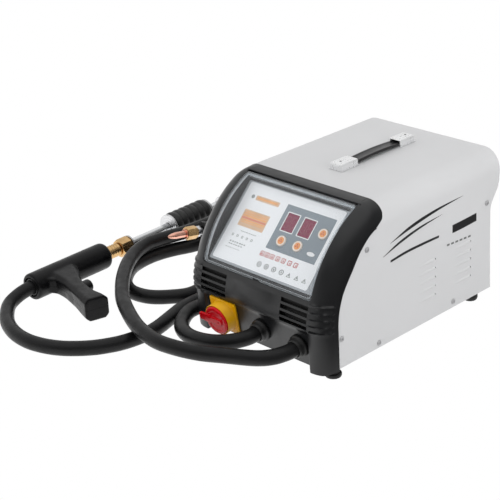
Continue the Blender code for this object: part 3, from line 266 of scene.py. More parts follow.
def apply_mods(o):
    """Replaces the mesh by its evaluated mesh, with the modifiers applied."""
    bpy.context.view_layer.update()
    dg = bpy.context.evaluated_depsgraph_get()
    me = bpy.data.meshes.new_from_object(o.evaluated_get(dg), preserve_all_data_layers=True, depsgraph=dg)
    old = o.data
    o.modifiers.clear()
    o.data = me
    if old.users == 0:
        bpy.data.meshes.remove(old)
    return o


def boolean(o, others, op="DIFFERENCE", apply=True):
    for c in others:
        mod = o.modifiers.new("b", "BOOLEAN")
        mod.operation, mod.solver, mod.object = op, "EXACT", c
    if apply:
        apply_mods(o)
        remove(*others)
    return o


def bevel(o, width, segments=2, angle=30):
    mod = o.modifiers.new("bevel", "BEVEL")
    mod.width, mod.segments, mod.limit_method, mod.angle_limit = width, segments, "ANGLE", R(angle)
    mod.harden_normals = False
    return o


def smooth_again(o, angle=35):
    o.data.shade_smooth()
    o.data.set_sharp_from_angle(angle=R(angle))
    return o


def lathe(name, profile, mats, matrix, body="root", steps=64, smooth=35, closed=False, mat_of=None, spin=0.0):
    """Profile of (r, z) turned about local Z, as one closed mesh. matrix places it in the machine frame."""
    bm = bmesh.new()
    rings = []
    for r, z in profile:
        if r < 1e-7:
            rings.append([bm.verts.new((0, 0, z))])
        else:
            rings.append([bm.verts.new((r * math.cos(math.tau * k / steps + spin), r * math.sin(math.tau * k / steps + spin), z)) for k in range(steps)])
    pairs = list(zip(rings, rings[1:])) + ([(rings[-1], rings[0])] if closed else [])
    for i, (a, b) in enumerate(pairs):
        for k in range(steps):
            k2 = (k + 1) % steps
            if len(a) == 1 and len(b) == 1:
                continue
            if len(a) == 1:
                f = bm.faces.new((a[0], b[k], b[k2]))
            elif len(b) == 1:
                f = bm.faces.new((a[k], b[0], a[k2]))
            else:
                f = bm.faces.new((a[k], b[k], b[k2], a[k2]))
            if mat_of:
                f.material_index = mat_of(i, k)
    return finish_bm(name, bm, mats, body, smooth, matrix=Matrix.Translation(OFF) @ matrix)


def frame_to(origin, direction, roll_ref=(0, 0, 1)):
    z = Vector(direction).normalized()
    x = Vector(roll_ref).cross(z)
    if x.length < 1e-4:
        x = Vector((1, 0, 0))
    x.normalize()
    y = z.cross(x)
    return Matrix(((x.x, y.x, z.x, origin[0]), (x.y, y.y, z.y, origin[1]), (x.z, y.z, z.z, origin[2]), (0, 0, 0, 1)))


def rounded(points, n=6):
    """Polygon with rounded corners; points are (x, y, radius)."""
    out = []
    count = len(points)
    for i in range(count):
        x, y, r = points[i]
        p = Vector((x, y))
        a = Vector(points[i - 1][:2]) - p
        b = Vector(points[(i + 1) % count][:2]) - p
        if r <= 0:
            out.append((x, y))
            continue
        a.normalize(), b.normalize()
        half = a.angle(b) / 2
        d = r / math.tan(half)
        s, e = p + a * d, p + b * d
        c = p + (a + b).normalized() * (r / math.sin(half))
        a0 = math.atan2(s.y - c.y, s.x - c.x)
        a1 = math.atan2(e.y - c.y, e.x - c.x)
        while a1 - a0 > math.pi:
            a1 -= math.tau
        while a1 - a0 < -math.pi:
            a1 += math.tau
        for k in range(n + 1):
            t = a0 + (a1 - a0) * k / n
            out.append((c.x + r * math.cos(t), c.y + r * math.sin(t)))
    return out


def rrect(cx, cy, w, h, r, n=6):
    return rounded([(cx - w / 2, cy - h / 2, r), (cx + w / 2, cy - h / 2, r), (cx + w / 2, cy + h / 2, r), (cx - w / 2, cy + h / 2, r)], n)


def prism(name, outline, z0, z1, mats, matrix, body="root", smooth=30, holes=()):
    """Outline in local XY extruded from z0 to z1, in the machine frame through matrix."""
    bm = bmesh.new()
    rings = [outline, *holes]
    edges = []
    for ring in rings:
        vs = [bm.verts.new((x, y, z0)) for x, y in ring]
        edges += [bm.edges.new((vs[i], vs[(i + 1) % len(vs)])) for i in range(len(vs))]
    if holes:
        res = bmesh.ops.triangle_fill(bm, use_beauty=True, use_dissolve=False, edges=edges)
        faces = [g for g in res["geom"] if isinstance(g, bmesh.types.BMFace)]
    else:
        faces = [bm.faces.new(bm.verts[:])]
    ext = bmesh.ops.extrude_face_region(bm, geom=faces)
    bmesh.ops.translate(bm, vec=(0, 0, z1 - z0), verts=[g for g in ext["geom"] if isinstance(g, bmesh.types.BMVert)])
    bm.faces.ensure_lookup_table()
    return finish_bm(name, bm, mats, body, smooth, matrix=Matrix.Translation(OFF) @ matrix)


def block(name, size, center, mats, body="root", rot=None, bev=0.0, seg=2, smooth=30):
    bm = bmesh.new()
    bmesh.ops.create_cube(bm, size=1.0, matrix=Matrix.Diagonal((*size, 1.0)))
    m = Matrix.Translation(OFF + Vector(center)) @ (rot.to_4x4() if rot is not None else Matrix.Identity(4))
    o = finish_bm(name, bm, mats, None, smooth, matrix=m)
    if bev:
        bevel(o, bev, seg)
        apply_mods(o)
        smooth_again(o, 40)
    if body:
        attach(o, body)
    return o


def catmull(points, step):
    line = [Vector(p) for p in points]
    ends = [line[0] * 2 - line[1], *line, line[-1] * 2 - line[-2]]
    path = []
    for i in range(1, len(ends) - 2):
        a, b, c, d = ends[i - 1:i + 3]
        count = max(1, round((c - b).length / step))
        for k in range(count):
            t = k / count
            path.append(0.5 * (2 * b + (c - a) * t + (2 * a - 5 * b + 4 * c - d) * t * t + (3 * b - a - 3 * c + d) * t ** 3))
    path.append(line[-1])
    return path


def sweep(name, path, radius, mats, body="root", sides=28, smooth=60, radius_at=None, caps=True):
    """A round tube along a path, with frames carried along without twist."""
    bm = bmesh.new()
    n = len(path)
    tangents = [((path[min(i + 1, n - 1)] - path[max(i - 1, 0)]).normalized()) for i in range(n)]
    ref = Vector((0, 0, 1))
    if abs(tangents[0].dot(ref)) > 0.9:
        ref = Vector((1, 0, 0))
    u = (ref - tangents[0] * ref.dot(tangents[0])).normalized()
    rings = []
    for i in range(n):
        t = tangents[i]
        u = (u - t * u.dot(t)).normalized()
        v = t.cross(u)
        r = radius if radius_at is None else radius_at(i / (n - 1))
        rings.append([bm.verts.new(path[i] + u * (r * math.cos(math.tau * k / sides)) + v * (r * math.sin(math.tau * k / sides))) for k in range(sides)])
    for a, b in zip(rings, rings[1:]):
        for k in range(sides):
            bm.faces.new((a[k], a[(k + 1) % sides], b[(k + 1) % sides], b[k]))
    if caps:
        bm.faces.new(rings[0][::-1])
        bm.faces.new(rings[-1])
    return finish_bm(name, bm, mats, body, smooth)


def smoothstep(a, b, x):
    t = min(1.0, max(0.0, (x - a) / (b - a)))
    return t * t * (3 - 2 * t)


def spline_sample(keys, per):
    """Catmull-Rom through 2D keys; returns the sampled list."""
    pts = [Vector((a, b, 0)) for a, b in keys]
    ends = [pts[0] * 2 - pts[1], *pts, pts[-1] * 2 - pts[-2]]
    out = []
    for i in range(1, len(ends) - 2):
        a, b, c, d = ends[i - 1:i + 3]
        for k in range(per):
            t = k / per
            p = 0.5 * (2 * b + (c - a) * t + (2 * a - 5 * b + 4 * c - d) * t * t + (3 * b - a - 3 * c + d) * t ** 3)
            out.append((p.x, p.y))
    out.append((pts[-1].x, pts[-1].y))
    return out


# ------------------------------------------------------------------ side profile of front, visor and cabinet
VISOR_LOW = (-0.0245, FOOT + 0.122)
VISOR_TOP = (0.0885, FOOT + 0.249)
VISOR_BULGE = 0.018


def arc_point(t, inset=0.0):
    a, b = Vector(VISOR_LOW), Vector(VISOR_TOP)
    chord = b - a
    out = Vector((-chord.y, chord.x)).normalized()
    half = chord.length / 2
    radius = (half * half + VISOR_BULGE ** 2) / (2 * VISOR_BULGE)
    c = (a + b) / 2 - out * (radius - VISOR_BULGE)
    s = math.atan2(a.y - c.y, a.x - c.x) % math.tau
    e = math.atan2(b.y - c.y, b.x - c.x) % math.tau
    g = s + (e - s) * t
    return (c.x + (radius - inset) * math.cos(g), c.y + (radius - inset) * math.sin(g))


LOWER = [((-0.0265, -0.007), (0.0005, -0.007)), ((-0.0270, 0.000), (0.0005, 0.000)), ((-0.0285, 0.033), (0.0005, 0.033)),
         ((-0.0315, 0.064), (0.0003, 0.062)), ((-0.0335, 0.070), (0.0003, 0.068)), ((-0.0345, 0.080), (0.0002, 0.078)),
         ((-0.0330, 0.092), (0.0010, 0.090)), ((-0.0290, 0.1075), (0.0035, 0.105))]
EDGE = [(0.0075, 0.118), (0.0125, 0.1305), (0.0205, 0.1435), (0.0285, 0.1545), (0.0370, 0.1655), (0.0455, 0.1775),
        (0.0540, 0.1885), (0.0630, 0.1975), (0.0722, 0.2055)]
UPPER = [((0.1030, 0.2525), (0.0800, 0.2110)), ((0.1180, 0.2536), (0.0915, 0.2166))]
CORNER = [(0, 0.0915), (18, 0.1120), (36, 0.1176), (54, 0.1188), (72, 0.1186), (90, 0.1180)]   # joint with the cover over the top corner


def corner_y(phi):
    for (a, ya), (b, yb) in zip(CORNER, CORNER[1:]):
        if phi <= b:
            return ya + (yb - ya) * max(0.0, math.sin(R(phi)) - math.sin(R(a))) / (math.sin(R(b)) - math.sin(R(a)))
    return CORNER[-1][1]


f_keys = [(y, z + FOOT) for (y, z), _ in LOWER] + [arc_point(i / 8) for i in range(9)] + [(y, z + FOOT) for (y, z), _ in UPPER]
b_keys = [(y, z + FOOT) for _, (y, z) in LOWER] + [(y, z + FOOT) for y, z in EDGE] + [(y, z + FOOT) for _, (y, z) in UPPER]
PER = 8
F_LINE = spline_sample(f_keys, PER)
B_LINE = spline_sample(b_keys, PER)
FLAT = 0.1235
ROUND = SIDE + 0.0010 - FLAT

P0 = Vector((0, -0.014, FOOT + 0.130))
T = Vector((0, 0.103, 0.1045)).normalized()
N = Vector((0, -T.z, T.y))
PANEL = Matrix(((1, 0, 0, 0), (0, T.y, N.y, P0.y), (0, T.z, N.z, P0.z), (0, 0, 0, 1)))   # local (x, t, n)
FACE_TILT = math.atan2(0.010, 0.067)
FACE_OUT = Vector((0, -math.cos(FACE_TILT), -math.sin(FACE_TILT)))


def on_face(x, z, out=0.0):
    return Vector((x, -0.0180 - 0.010 * (z - FOOT) / 0.067, z)) + FACE_OUT * out


SWITCH = (-0.077, FOOT + 0.034)
GLANDS = {"earth": 0.010, "gun": 0.097}
GLAND_Z = FOOT + 0.034

# ------------------------------------------------------------------ moulded front, fine version
def build_front():
    xs = [(-1, R(90 - 90 * k / 22)) for k in range(23)]
    for x in (-0.1232, -0.1222, -0.1212, -0.1202, -0.1192, -0.1182, -0.1170, -0.1155, -0.10, -0.08, -0.0635, -0.041, -0.040, 0.0, 0.040, 0.041, 0.0635, 0.08, 0.10, 0.1155, 0.1170, 0.1182, 0.1192, 0.1202, 0.1212, 0.1222, 0.1232):
        xs.append((x, None))
    xs += [(1, R(90 * k / 22)) for k in range(23)]
    rib_z = [FOOT + 0.1150 - 0.011 * k for k in range(5)]
    fine = sorted(z + d for z in rib_z for d in (-0.0055, -0.0020, -0.0015, -0.0009, -0.0003, 0.0003, 0.0009, 0.0015, 0.0020))
    rough = []
    for i, ((fy, fz), (by, bz)) in enumerate(zip(F_LINE, B_LINE)):
        rough.append((fy, fz, by, bz, max(0.0, (i - (len(F_LINE) - 1 - PER)) / PER)))
    zs = [row for row in rough if not fine[0] - 0.0015 < row[1] < fine[-1] + 0.0015]
    for z in fine:      # rows laid on the edges of the vents and of the ribs
        for a, b in zip(rough, rough[1:]):
            if a[1] <= z < b[1]:
                t = (z - a[1]) / (b[1] - a[1])
                zs.append((a[0] + (b[0] - a[0]) * t, z, a[2] + (b[2] - a[2]) * t, a[3] + (b[3] - a[3]) * t, 0.0))
                break
    zs.sort(key=lambda row: (row[4], row[1]))
    vents = [(z - 0.0090, z - 0.0020) for z in rib_z[:4]]
    bm = bmesh.new()
    grid = []
    for fy, fz, by, bz, over in zs:
        row = []
        for side, ang in xs:
            if ang is None:
                x = side
                face_y = -0.0180 - 0.010 * (max(fz, FOOT) - FOOT) / 0.067
                k = (1 - smoothstep(0.1172, 0.1218, abs(x))) * (1 - smoothstep(FOOT + 0.0635, FOOT + 0.0690, fz))
                y = fy + (face_y - fy) * k
                # faint raised rectangle between the vents
                if abs(x) < 0.0405 and FOOT + 0.0725 < fz < FOOT + 0.1128:
                    y -= 0.0006
                p = (x, y, fz)
            else:
                back = 1 - math.cos(ang)
                x, y, z = side * (FLAT + ROUND * math.sin(ang)), fy + (by - fy) * back, fz + (bz - fz) * back
                y += (corner_y(90 - math.degrees(ang)) - y) * over
                z += 0.0062 * smoothstep(R(30), R(88), ang) * (1 - smoothstep(FOOT, FOOT + 0.030, z))
                # bead along the joint with the cabinet
                x += side * 0.0009 * smoothstep(R(82), R(88), ang)
                p = (x, y, z)
            row.append(bm.verts.new(p))
        grid.append(row)
    for a, b, row, above in zip(grid, grid[1:], zs, zs[1:]):
        for k in range(len(a) - 1):
            mid, z = abs(a[k].co.x + a[k + 1].co.x) / 2, (row[1] + above[1]) / 2
            if 0.0635 < mid < 0.1235 and any(lo < z < hi for lo, hi in vents):
                continue        # the vent slots are left open
            bm.faces.new((a[k], a[k + 1], b[k + 1], b[k]))
    bmesh.ops.recalc_face_normals(bm, faces=bm.faces)
    f = min(bm.faces, key=lambda q: q.calc_center_median().y)
    if f.normal.y > 0:
        bmesh.ops.reverse_faces(bm, faces=bm.faces)
    o = finish_bm("front_moulding", bm, CHARCOAL, None, 40, recalc=False)
    mod = o.modifiers.new("wall", "SOLIDIFY")
    mod.thickness, mod.offset = 0.003, -1
    apply_mods(o)
    yz = Matrix(((0, 0, 1, 0), (1, 0, 0, 0), (0, 1, 0, 0), (0, 0, 0, 1)))
    joint = [(y + 0.0002, z) for y, z in B_LINE] + [(y + 0.0002, TOP - EDGE_R * (1 - math.sin(R(a)))) for a, y in CORNER[1:-1]]
    trim = prism("c0", [(0.30, FOOT - 0.02), (0.0007, FOOT - 0.02), *joint, (0.1182, TOP), (0.1182, TOP + 0.02), (0.30, TOP + 0.02)], -0.2, 0.2, DARK, yz, None)
    low = block("c1", (0.2415, 0.05, 0.02), (0, -0.02, FOOT - 0.010 + 0.0004), DARK, None)
    boolean(o, [trim, low])
    pts = []
    for t, n in ((-0.0170, -0.0068),):
        p = P0 + T * t + N * n
        pts.append((p.y, p.z))
    pts += [arc_point(k / 24, 0.0012) for k in range(25)]
    for t, n in ((0.1637, 0.0080), (0.1637, -0.0068)):
        p = P0 + T * t + N * n
        pts.append((p.y, p.z))
    tub = prism("c2", pts, -0.1285, 0.1285, CHARCOAL, yz, None)
    boolean(o, [tub], "UNION")
    cuts = [prism("c3", rrect(0, 0.07335, 0.2510, 0.1743, 0.0060, 8), -0.0038, 0.08, CHARCOAL, PANEL, None),
            prism("c4", rrect(0, 0.075, 0.224, 0.138, 0.004), -0.012, 0.0, CHARCOAL, PANEL, None)]
    h = P0 + T * 0.1540 + N * 0.0062        # room for the visor to swing round its pin
    cuts.append(prism("hc", [(h.y + 0.0086 * math.cos(math.tau * (k + 0.5) / 40), h.z + 0.0086 * math.sin(math.tau * (k + 0.5) / 40)) for k in range(40)], -0.1252, 0.1252, CHARCOAL, yz, None))
    cuts.append(prism("s0", [(0.0080 * math.cos(math.tau * k / 32), 0.0080 * math.sin(math.tau * k / 32)) for k in range(32)], -0.03, 0.03, CHARCOAL, frame_to(on_face(*SWITCH), FACE_OUT), None))
    for x in GLANDS.values():
        cuts.append(prism("g", [(0.0158 * math.cos(math.tau * k / 48), 0.0158 * math.sin(math.tau * k / 48)) for k in range(48)], -0.03, 0.03, CHARCOAL, frame_to(on_face(x, GLAND_Z), FACE_OUT), None))
    boolean(o, cuts)
    bm = bmesh.new()
    bm.from_mesh(o.data)
    bmesh.ops.remove_doubles(bm, verts=bm.verts, dist=0.00001)
    bm.to_mesh(o.data)
    bm.free()
    # five ribs wrap each corner beside the vents: the outer skin is lifted along its normal
    for v in o.data.vertices:
        q = v.co
        if abs(q.x) <= FLAT + 0.0008 or not FOOT + 0.066 < q.z < FOOT + 0.122:
            continue
        ang = math.asin(min(1.0, (abs(q.x) - FLAT) / ROUND))
        if ang > R(78):
            continue
        back = 1 - math.cos(ang)
        for (fy, fz, by, bz, _), (gy, gz, cy, cz, _) in zip(zs, zs[1:]):
            z0, z1 = fz + (bz - fz) * back, gz + (cz - gz) * back
            if z0 <= q.z <= z1:
                t = (q.z - z0) / max(1e-9, z1 - z0)
                y0, y1 = fy + (by - fy) * back, gy + (cy - gy) * back
                if abs(q.y - (y0 + (y1 - y0) * t)) < 0.0009:
                    lift = max(1 - smoothstep(0.0009, 0.0020, abs(q.z - rz)) for rz in rib_z)
                    lift *= smoothstep(R(2), R(6), ang) * (1 - smoothstep(R(66), R(76), ang))
                    gap = smoothstep(rib_z[-1] - 0.0055, rib_z[-1], q.z) * (1 - smoothstep(rib_z[0], rib_z[0] + 0.0055, q.z)) * smoothstep(R(2), R(8), ang) * (1 - smoothstep(R(60), R(74), ang))
                    out = 0.0034 * lift - 0.0008 * gap
                    q.x += math.copysign(out * math.sin(ang), q.x)
                    q.y -= out * math.cos(ang)
                break
    smooth_again(o, 32)
    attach(o, "root")
    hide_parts("front_bezel")
    return o


front = build_front()
# dark plates behind the vent slots: painted shade standing in for the unlit inside of the cabinet
for s, word in ((-1, "left"), (1, "right")):
    v = block(f"vent_shade_plate_{word}", (0.066, 0.0012, 0.050), (s * 0.0935, -0.0225, FOOT + 0.0930), DARK, rot=Matrix.Rotation(R(3), 3, "X"))

# ------------------------------------------------------------------ folded cover with pressed louvres
REAR = [(0.402, 0.0015), (0.3995, 0.080), (0.398, 0.150), (0.3992, 0.158), (0.4030, 0.1665), (0.4105, 0.1770), (0.4180, 0.1870), (0.4215, 0.1980), (0.4225, 0.2120), (0.4235, 0.2290), (0.4270, 0.2536)]


def line_at(line, z, key=1):
    for a, b in zip(line, line[1:]):
        if a[1] <= z <= b[1]:
            t = (z - a[1]) / max(1e-9, b[1] - a[1])
            return a[0] + (b[0] - a[0]) * t
    return line[-1][0] if z > line[-1][1] else line[0][0]


REAR_LINE = [(y, z + FOOT) for y, z in REAR]


def front_y(z, corner):
    """Front edge of the sheet at height z; the corner share (0 on the side to 1 on the roof) is not used."""
    if z <= TOP - EDGE_R:
        return line_at(B_LINE, z) + 0.0006
    return corner_y(math.degrees(math.asin(min(1.0, (z - (TOP - EDGE_R)) / EDGE_R)))) + 0.0006


def build_cover():
    section = []
    for k in range(46):
        section.append((-SIDE, FOOT + 0.0015 + (TOP - EDGE_R - FOOT - 0.0015) * k / 45))
    for k in range(1, 19):
        a = R(90 * k / 18)
        section.append((-SIDE + EDGE_R * (1 - math.cos(a)), TOP - EDGE_R * (1 - math.sin(a))))
    half = list(section)
    for k in range(1, 12):
        section.append((-SIDE + EDGE_R + (2 * SIDE - 2 * EDGE_R) * k / 12, TOP))
    section += [(-x, z) for x, z in reversed(half)]
    bm = bmesh.new()
    grid = []
    cols = 64
    for x, z in section:
        y0, y1 = front_y(z, 0), line_at(REAR_LINE, z) - 0.0002
        grid.append([bm.verts.new((x, y0 + (y1 - y0) * j / cols, z)) for j in range(cols + 1)])
    for a, b in zip(grid, grid[1:]):
        for k in range(cols):
            bm.faces.new((a[k], b[k], b[k + 1], a[k + 1]))
    bmesh.ops.recalc_face_normals(bm, faces=bm.faces)
    if max(bm.faces, key=lambda q: q.calc_center_median().z).normal.z < 0:
        bmesh.ops.reverse_faces(bm, faces=bm.faces)
    o = finish_bm("cabinet_cover", bm, PAINT, None, 30, recalc=False)
    mod = o.modifiers.new("sheet", "SOLIDIFY")
    mod.thickness, mod.offset, mod.use_even_offset = 0.0015, -1, True
    apply_mods(o)
    cuts = []
    for s in (-1, 1):
        for c, y in enumerate((0.245, 0.342)):
            for k in range(5):
                cuts.append(prism("l", rrect(y + 0.0005, FOOT + 0.111 - 0.0165 * k, 0.0042, 0.0036, 0.0014, 3), s * SIDE - 0.006, s * SIDE + 0.006, DARK,
                                  Matrix(((0, 0, 1, 0), (1, 0, 0, 0), (0, 1, 0, 0), (0, 0, 0, 1))), None))
        for _, y, z in SCREWS:
            cuts.append(prism("h", [(y + 0.0022 * math.cos(math.tau * k / 16), z + FOOT + 0.0022 * math.sin(math.tau * k / 16)) for k in range(16)], s * SIDE - 0.006, s * SIDE + 0.006, DARK,
                              Matrix(((0, 0, 1, 0), (1, 0, 0, 0), (0, 1, 0, 0), (0, 0, 0, 1))), None))
    boolean(o, cuts)
    smooth_again(o, 30)
    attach(o, "root")
    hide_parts("top_cover")


SCREWS = [("low_front", 0.0087, 0.0536), ("high_front", 0.0728, 0.1877), ("foot_front", 0.0995, 0.0107), ("foot_rear", 0.2955, 0.0129), ("high_rear", 0.387, 0.1681)]
build_cover()


def build_louvres(side):
    """Shallow pressed hoods, deepest at their open rear end."""
    word = "left" if side < 0 else "right"
    for c, y_end in enumerate((0.2445, 0.3415)):
        for k in range(5):
            zc = FOOT + 0.111 - 0.0165 * k
            bm = bmesh.new()
            rows = []
            n_len, n_wid = 20, 10
            for i in range(n_len + 1):
                t = i / n_len
                y = y_end - 0.056 * (1 - t)
                depth = 0.0012 * smoothstep(0.0, 0.85, t)
                half = 0.0018 + 0.0016 * smoothstep(0.0, 0.5, t)
                row = []
                for j in range(n_wid + 1):
                    u = -1 + 2 * j / n_wid
                    row.append(bm.verts.new((side * (SIDE - 0.0002 + depth * (1 - u * u) ** 0.75), y, zc + half * u)))
                rows.append(row)
            for a, b in zip(rows, rows[1:]):
                for j in range(n_wid):
                    bm.faces.new((a[j], a[j + 1], b[j + 1], b[j]))
            bmesh.ops.recalc_face_normals(bm, faces=bm.faces)
            top = max(bm.faces, key=lambda q: q.calc_center_median().x * side)
            if top.normal.x * side < 0:
                bmesh.ops.reverse_faces(bm, faces=bm.faces)
            o = finish_bm(f"louvre_{word}_{c + 1}_{k + 1}", bm, PAINT, None, 60, recalc=False)
            mod = o.modifiers.new("sheet", "SOLIDIFY")
            mod.thickness, mod.offset = 0.0005, -1
            apply_mods(o)
            smooth_again(o, 60)
            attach(o, "root")


build_louvres(1)
build_louvres(-1)

# ------------------------------------------------------------------ cross-recess screws
def screw_mesh():
    prof = [(0, 0.0028), (0.0012, 0.00278), (0.0026, 0.0025), (0.0038, 0.0020), (0.0046, 0.0013), (0.0050, 0.0008), (0.0050, 0.0005), (0.0048, 0.0003), (0.0019, 0.0003), (0.0019, -0.0070), (0.0012, -0.0075), (0, -0.0075)]
    o = lathe("screw_model", prof, SCREW, Matrix.Identity(4), None, 32)
    cuts = [block("x1", (0.0054, 0.0011, 0.0026), (0, 0, 0.0026), DARK, None), block("x2", (0.0011, 0.0054, 0.0026), (0, 0, 0.0026), DARK, None)]
    boolean(o, cuts)
    return smooth_again(o, 30)


model = screw_mesh()
for s, word in ((-1, "left"), (1, "right")):
    for i, (label, y, z) in enumerate(SCREWS):
        o = bpy.data.objects.new(f"pan_screw_{word}_{label}", model.data)
        bpy.context.scene.collection.objects.link(o)
        o.matrix_world = Matrix.Translation(OFF) @ frame_to((s * SIDE, y, z + FOOT), (s, 0, 0)) @ Matrix.Rotation(R(17 + 31 * i), 4, "Z")
        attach(o, "root")
        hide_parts(f"screw_{word}_{label}")
bpy.data.objects.remove(model, do_unlink=True)

# ------------------------------------------------------------------ visor
def build_visor():
    yz = Matrix(((0, 0, 1, 0), (1, 0, 0, 0), (0, 1, 0, 0), (0, 0, 0, 1)))
    n = 40
    band = [arc_point(-0.01 + 1.02 * k / n, 0.0003) for k in range(n + 1)] + [arc_point(-0.01 + 1.02 * k / n, 0.0025) for k in range(n, -1, -1)]
    o = prism("visor_sheet", band, -0.126, 0.126, VISOR, yz, None)
    keep = prism("k", rrect(0, 0.07335, 0.2476 - 0.0056, 0.1716 - 0.0056, 0.0042, 8), -0.02, 0.08, DARK, PANEL, None)
    boolean(o, [keep], "INTERSECT")
    o.data.materials.clear()
    o.data.materials.append(VISOR)
    for p in o.data.polygons:
        p.material_index = 0
    smooth_again(o, 30)
    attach(o, "visor")
    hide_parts("visor")
    # raised border all round, and the hinge barrel
    band = [arc_point(-0.01 + 1.02 * k / n, -0.0004) for k in range(n + 1)] + [arc_point(-0.01 + 1.02 * k / n, 0.0034) for k in range(n, -1, -1)]
    rim = prism("visor_border", band, -0.126, 0.126, VISOR_EDGE, yz, None)
    keep = prism("k", rrect(0, 0.07335, 0.2476, 0.1716, 0.0060, 8), -0.02, 0.08, DARK, PANEL, None)
    boolean(rim, [keep], "INTERSECT")
    inner = prism("i", rrect(0, 0.07335, 0.2476 - 0.0062, 0.1716 - 0.0062, 0.0040, 8), -0.02, 0.08, DARK, PANEL, None)
    notch = prism("n", rrect(0, -0.0128, 0.018, 0.0050, 0.0020, 4), -0.02, 0.08, DARK, PANEL, None)
    boolean(rim, [inner, notch])
    rim.data.materials.clear()
    rim.data.materials.append(VISOR_EDGE)
    for p in rim.data.polygons:
        p.material_index = 0
    smooth_again(rim, 30)
    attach(rim, "visor")
    # painted highlights: thin milky strips on the outer and inner lips of the border stand in for the light they catch
    for word, grow, wide in (("outer", 0.0, 0.0007), ("inner", -0.0062 + 0.0005, 0.0005)):
        band = [arc_point(-0.01 + 1.02 * k / n, 0.00345) for k in range(n + 1)] + [arc_point(-0.01 + 1.02 * k / n, 0.0046) for k in range(n, -1, -1)]
        highlight_strip = prism(f"visor_highlight_line_{word}", band, -0.126, 0.126, VISOR_HIGHLIGHT_LINE, yz, None)
        keep = prism("k", rrect(0, 0.07335, 0.2476 + grow, 0.1716 + grow, 0.0060, 8), -0.02, 0.08, DARK, PANEL, None)
        boolean(highlight_strip, [keep], "INTERSECT")
        inner = prism("i", rrect(0, 0.07335, 0.2476 + grow - 2 * wide, 0.1716 + grow - 2 * wide, 0.0054, 8), -0.02, 0.08, DARK, PANEL, None)
        notch = prism("n", rrect(0, -0.0128, 0.018, 0.0050, 0.0020, 4), -0.02, 0.08, DARK, PANEL, None)
        boolean(highlight_strip, [inner, notch])
        highlight_strip.data.materials.clear()
        highlight_strip.data.materials.append(VISOR_HIGHLIGHT_LINE)
        for p in highlight_strip.data.polygons:
            p.material_index = 0
        smooth_again(highlight_strip, 30)
        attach(highlight_strip, "visor")
    a, b = Vector(arc_point(0.040, 0.0036)), Vector(arc_point(0.050, 0.0036))
    d = (b - a).normalized()
    pin = lathe("visor_catch", [(0, 0.0016), (0.0013, 0.0015), (0.0018, 0.0010), (0.0018, -0.0020), (0, -0.0020)], BLACK, frame_to(Vector((0.1185, a.x, a.y)), Vector((0, -d.y, d.x))), "visor", 24)
    h = P0 + T * 0.1540 + N * 0.0062
    barrel = lathe("visor_barrel", [(0.0016, -0.1215), (0.0016, 0.1215), (0.0030, 0.1215), (0.0034, 0.1211), (0.0034, -0.1211), (0.0030, -0.1215)], VISOR_EDGE, frame_to(h, (1, 0, 0)), "visor", 24, closed=True)


build_visor()

# ------------------------------------------------------------------ control panel graphics, displays, buttons
plate_holes = [rrect(x, 0.0986, 0.0256, 0.0326, 0.0008, 3) for x in (0.0073, 0.0446)]
plate_holes += [[(x + 0.0098 * math.cos(math.tau * k / 40), t + 0.0098 * math.sin(math.tau * k / 40)) for k in range(40)] for x, t in ((0.0084, 0.0646), (0.0454, 0.0649), (0.0818, 0.0985))]
base = prism("panel_plate", rrect(0, 0.0725, 0.2400, 0.1510, 0.003), -0.0035, -0.0020, PANEL_GREY, PANEL, "root", holes=plate_holes)
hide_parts("control_panel")
film = prism("overlay_film", rrect(-0.0050, 0.0735, 0.2200, 0.1450, 0.004), -0.0020, -0.00172, OVERLAY, PANEL, "root", holes=plate_holes)
field = prism("overlay_field", rrect(0.0390, 0.0868, 0.1100, 0.0830, 0.0010), -0.00172, -0.00162, INK_GREY, PANEL, "root", holes=plate_holes)


def ink(name, outline, mat, holes=(), level=0):
    o = prism(name, outline, -0.00174 + 0.0001 * level, -0.00150 + 0.0001 * level, mat, PANEL, "root", holes=holes)
    return o


for label, x in (("left", 0.0073), ("right", 0.0446)):
    ink(f"display_frame_{label}", rrect(x, 0.0986, 0.0290, 0.0360, 0.0014), INK_WHITE, [rrect(x, 0.0986, 0.0258, 0.0328, 0.0008, 3)], 1)
    o = prism(f"display_window_{label}", rrect(x, 0.0986, 0.0250, 0.0320, 0.0008, 3), -0.0102, -0.0019, DISPLAY, PANEL, "root")
    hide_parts(f"display_{label}")
    # unlit digit segments, faint behind the tinted window
    for d, side_x in enumerate((-0.0058, 0.0058)):
        for j, (a, b, w, h) in enumerate(((0, 0.0100, 0.0062, 0.0013), (0, 0.0, 0.0062, 0.0013), (0, -0.0100, 0.0062, 0.0013), (-0.0039, 0.005, 0.0013, 0.0080), (0.0039, 0.005, 0.0013, 0.0080), (-0.0039, -0.005, 0.0013, 0.0080), (0.0039, -0.005, 0.0013, 0.0080))):
            seg = prism(f"segment_{label}_{d + 1}_{j + 1}", rrect(x + side_x + a, 0.0986 + b, w, h, 0.0004, 2), -0.00192, -0.00182, SEGMENT, PANEL, "root")
for k, (x, t) in enumerate(((0.0084, 0.0646), (0.0454, 0.0649), (0.0818, 0.0985))):
    body = ("button_one", "button_two", "button_three")[k]
    prof = [(0, 0.00085), (0.0030, 0.00080), (0.0058, 0.00055), (0.0063, 0.0003), (0.0066, 0.0004), (0.0072, 0.0008), (0.0082, 0.0009), (0.0090, 0.0006), (0.0093, -0.0002), (0.0093, -0.0058), (0.0090, -0.0060), (0, -0.0060)]
    o = lathe(f"push_button_{k + 1}", prof, [BUTTON, CREAM], PANEL @ Matrix.Translation((x, t, 0)), body, 48, mat_of=lambda i, _: 0 if i < 3 else 1)
    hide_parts(f"button_{k + 1}")
    # three small raised dots on each cap
    for j, (a, b) in enumerate(((0, 0.0022), (-0.0020, -0.0013), (0.0020, -0.0013))):
        dot = lathe(f"button_dot_{k + 1}_{j + 1}", [(0, 0.00104), (0.0012, 0.00096), (0.0013, 0.0005), (0, 0.0005)], INK_RED, PANEL @ Matrix.Translation((x + a, t + b, 0)), body, 16)

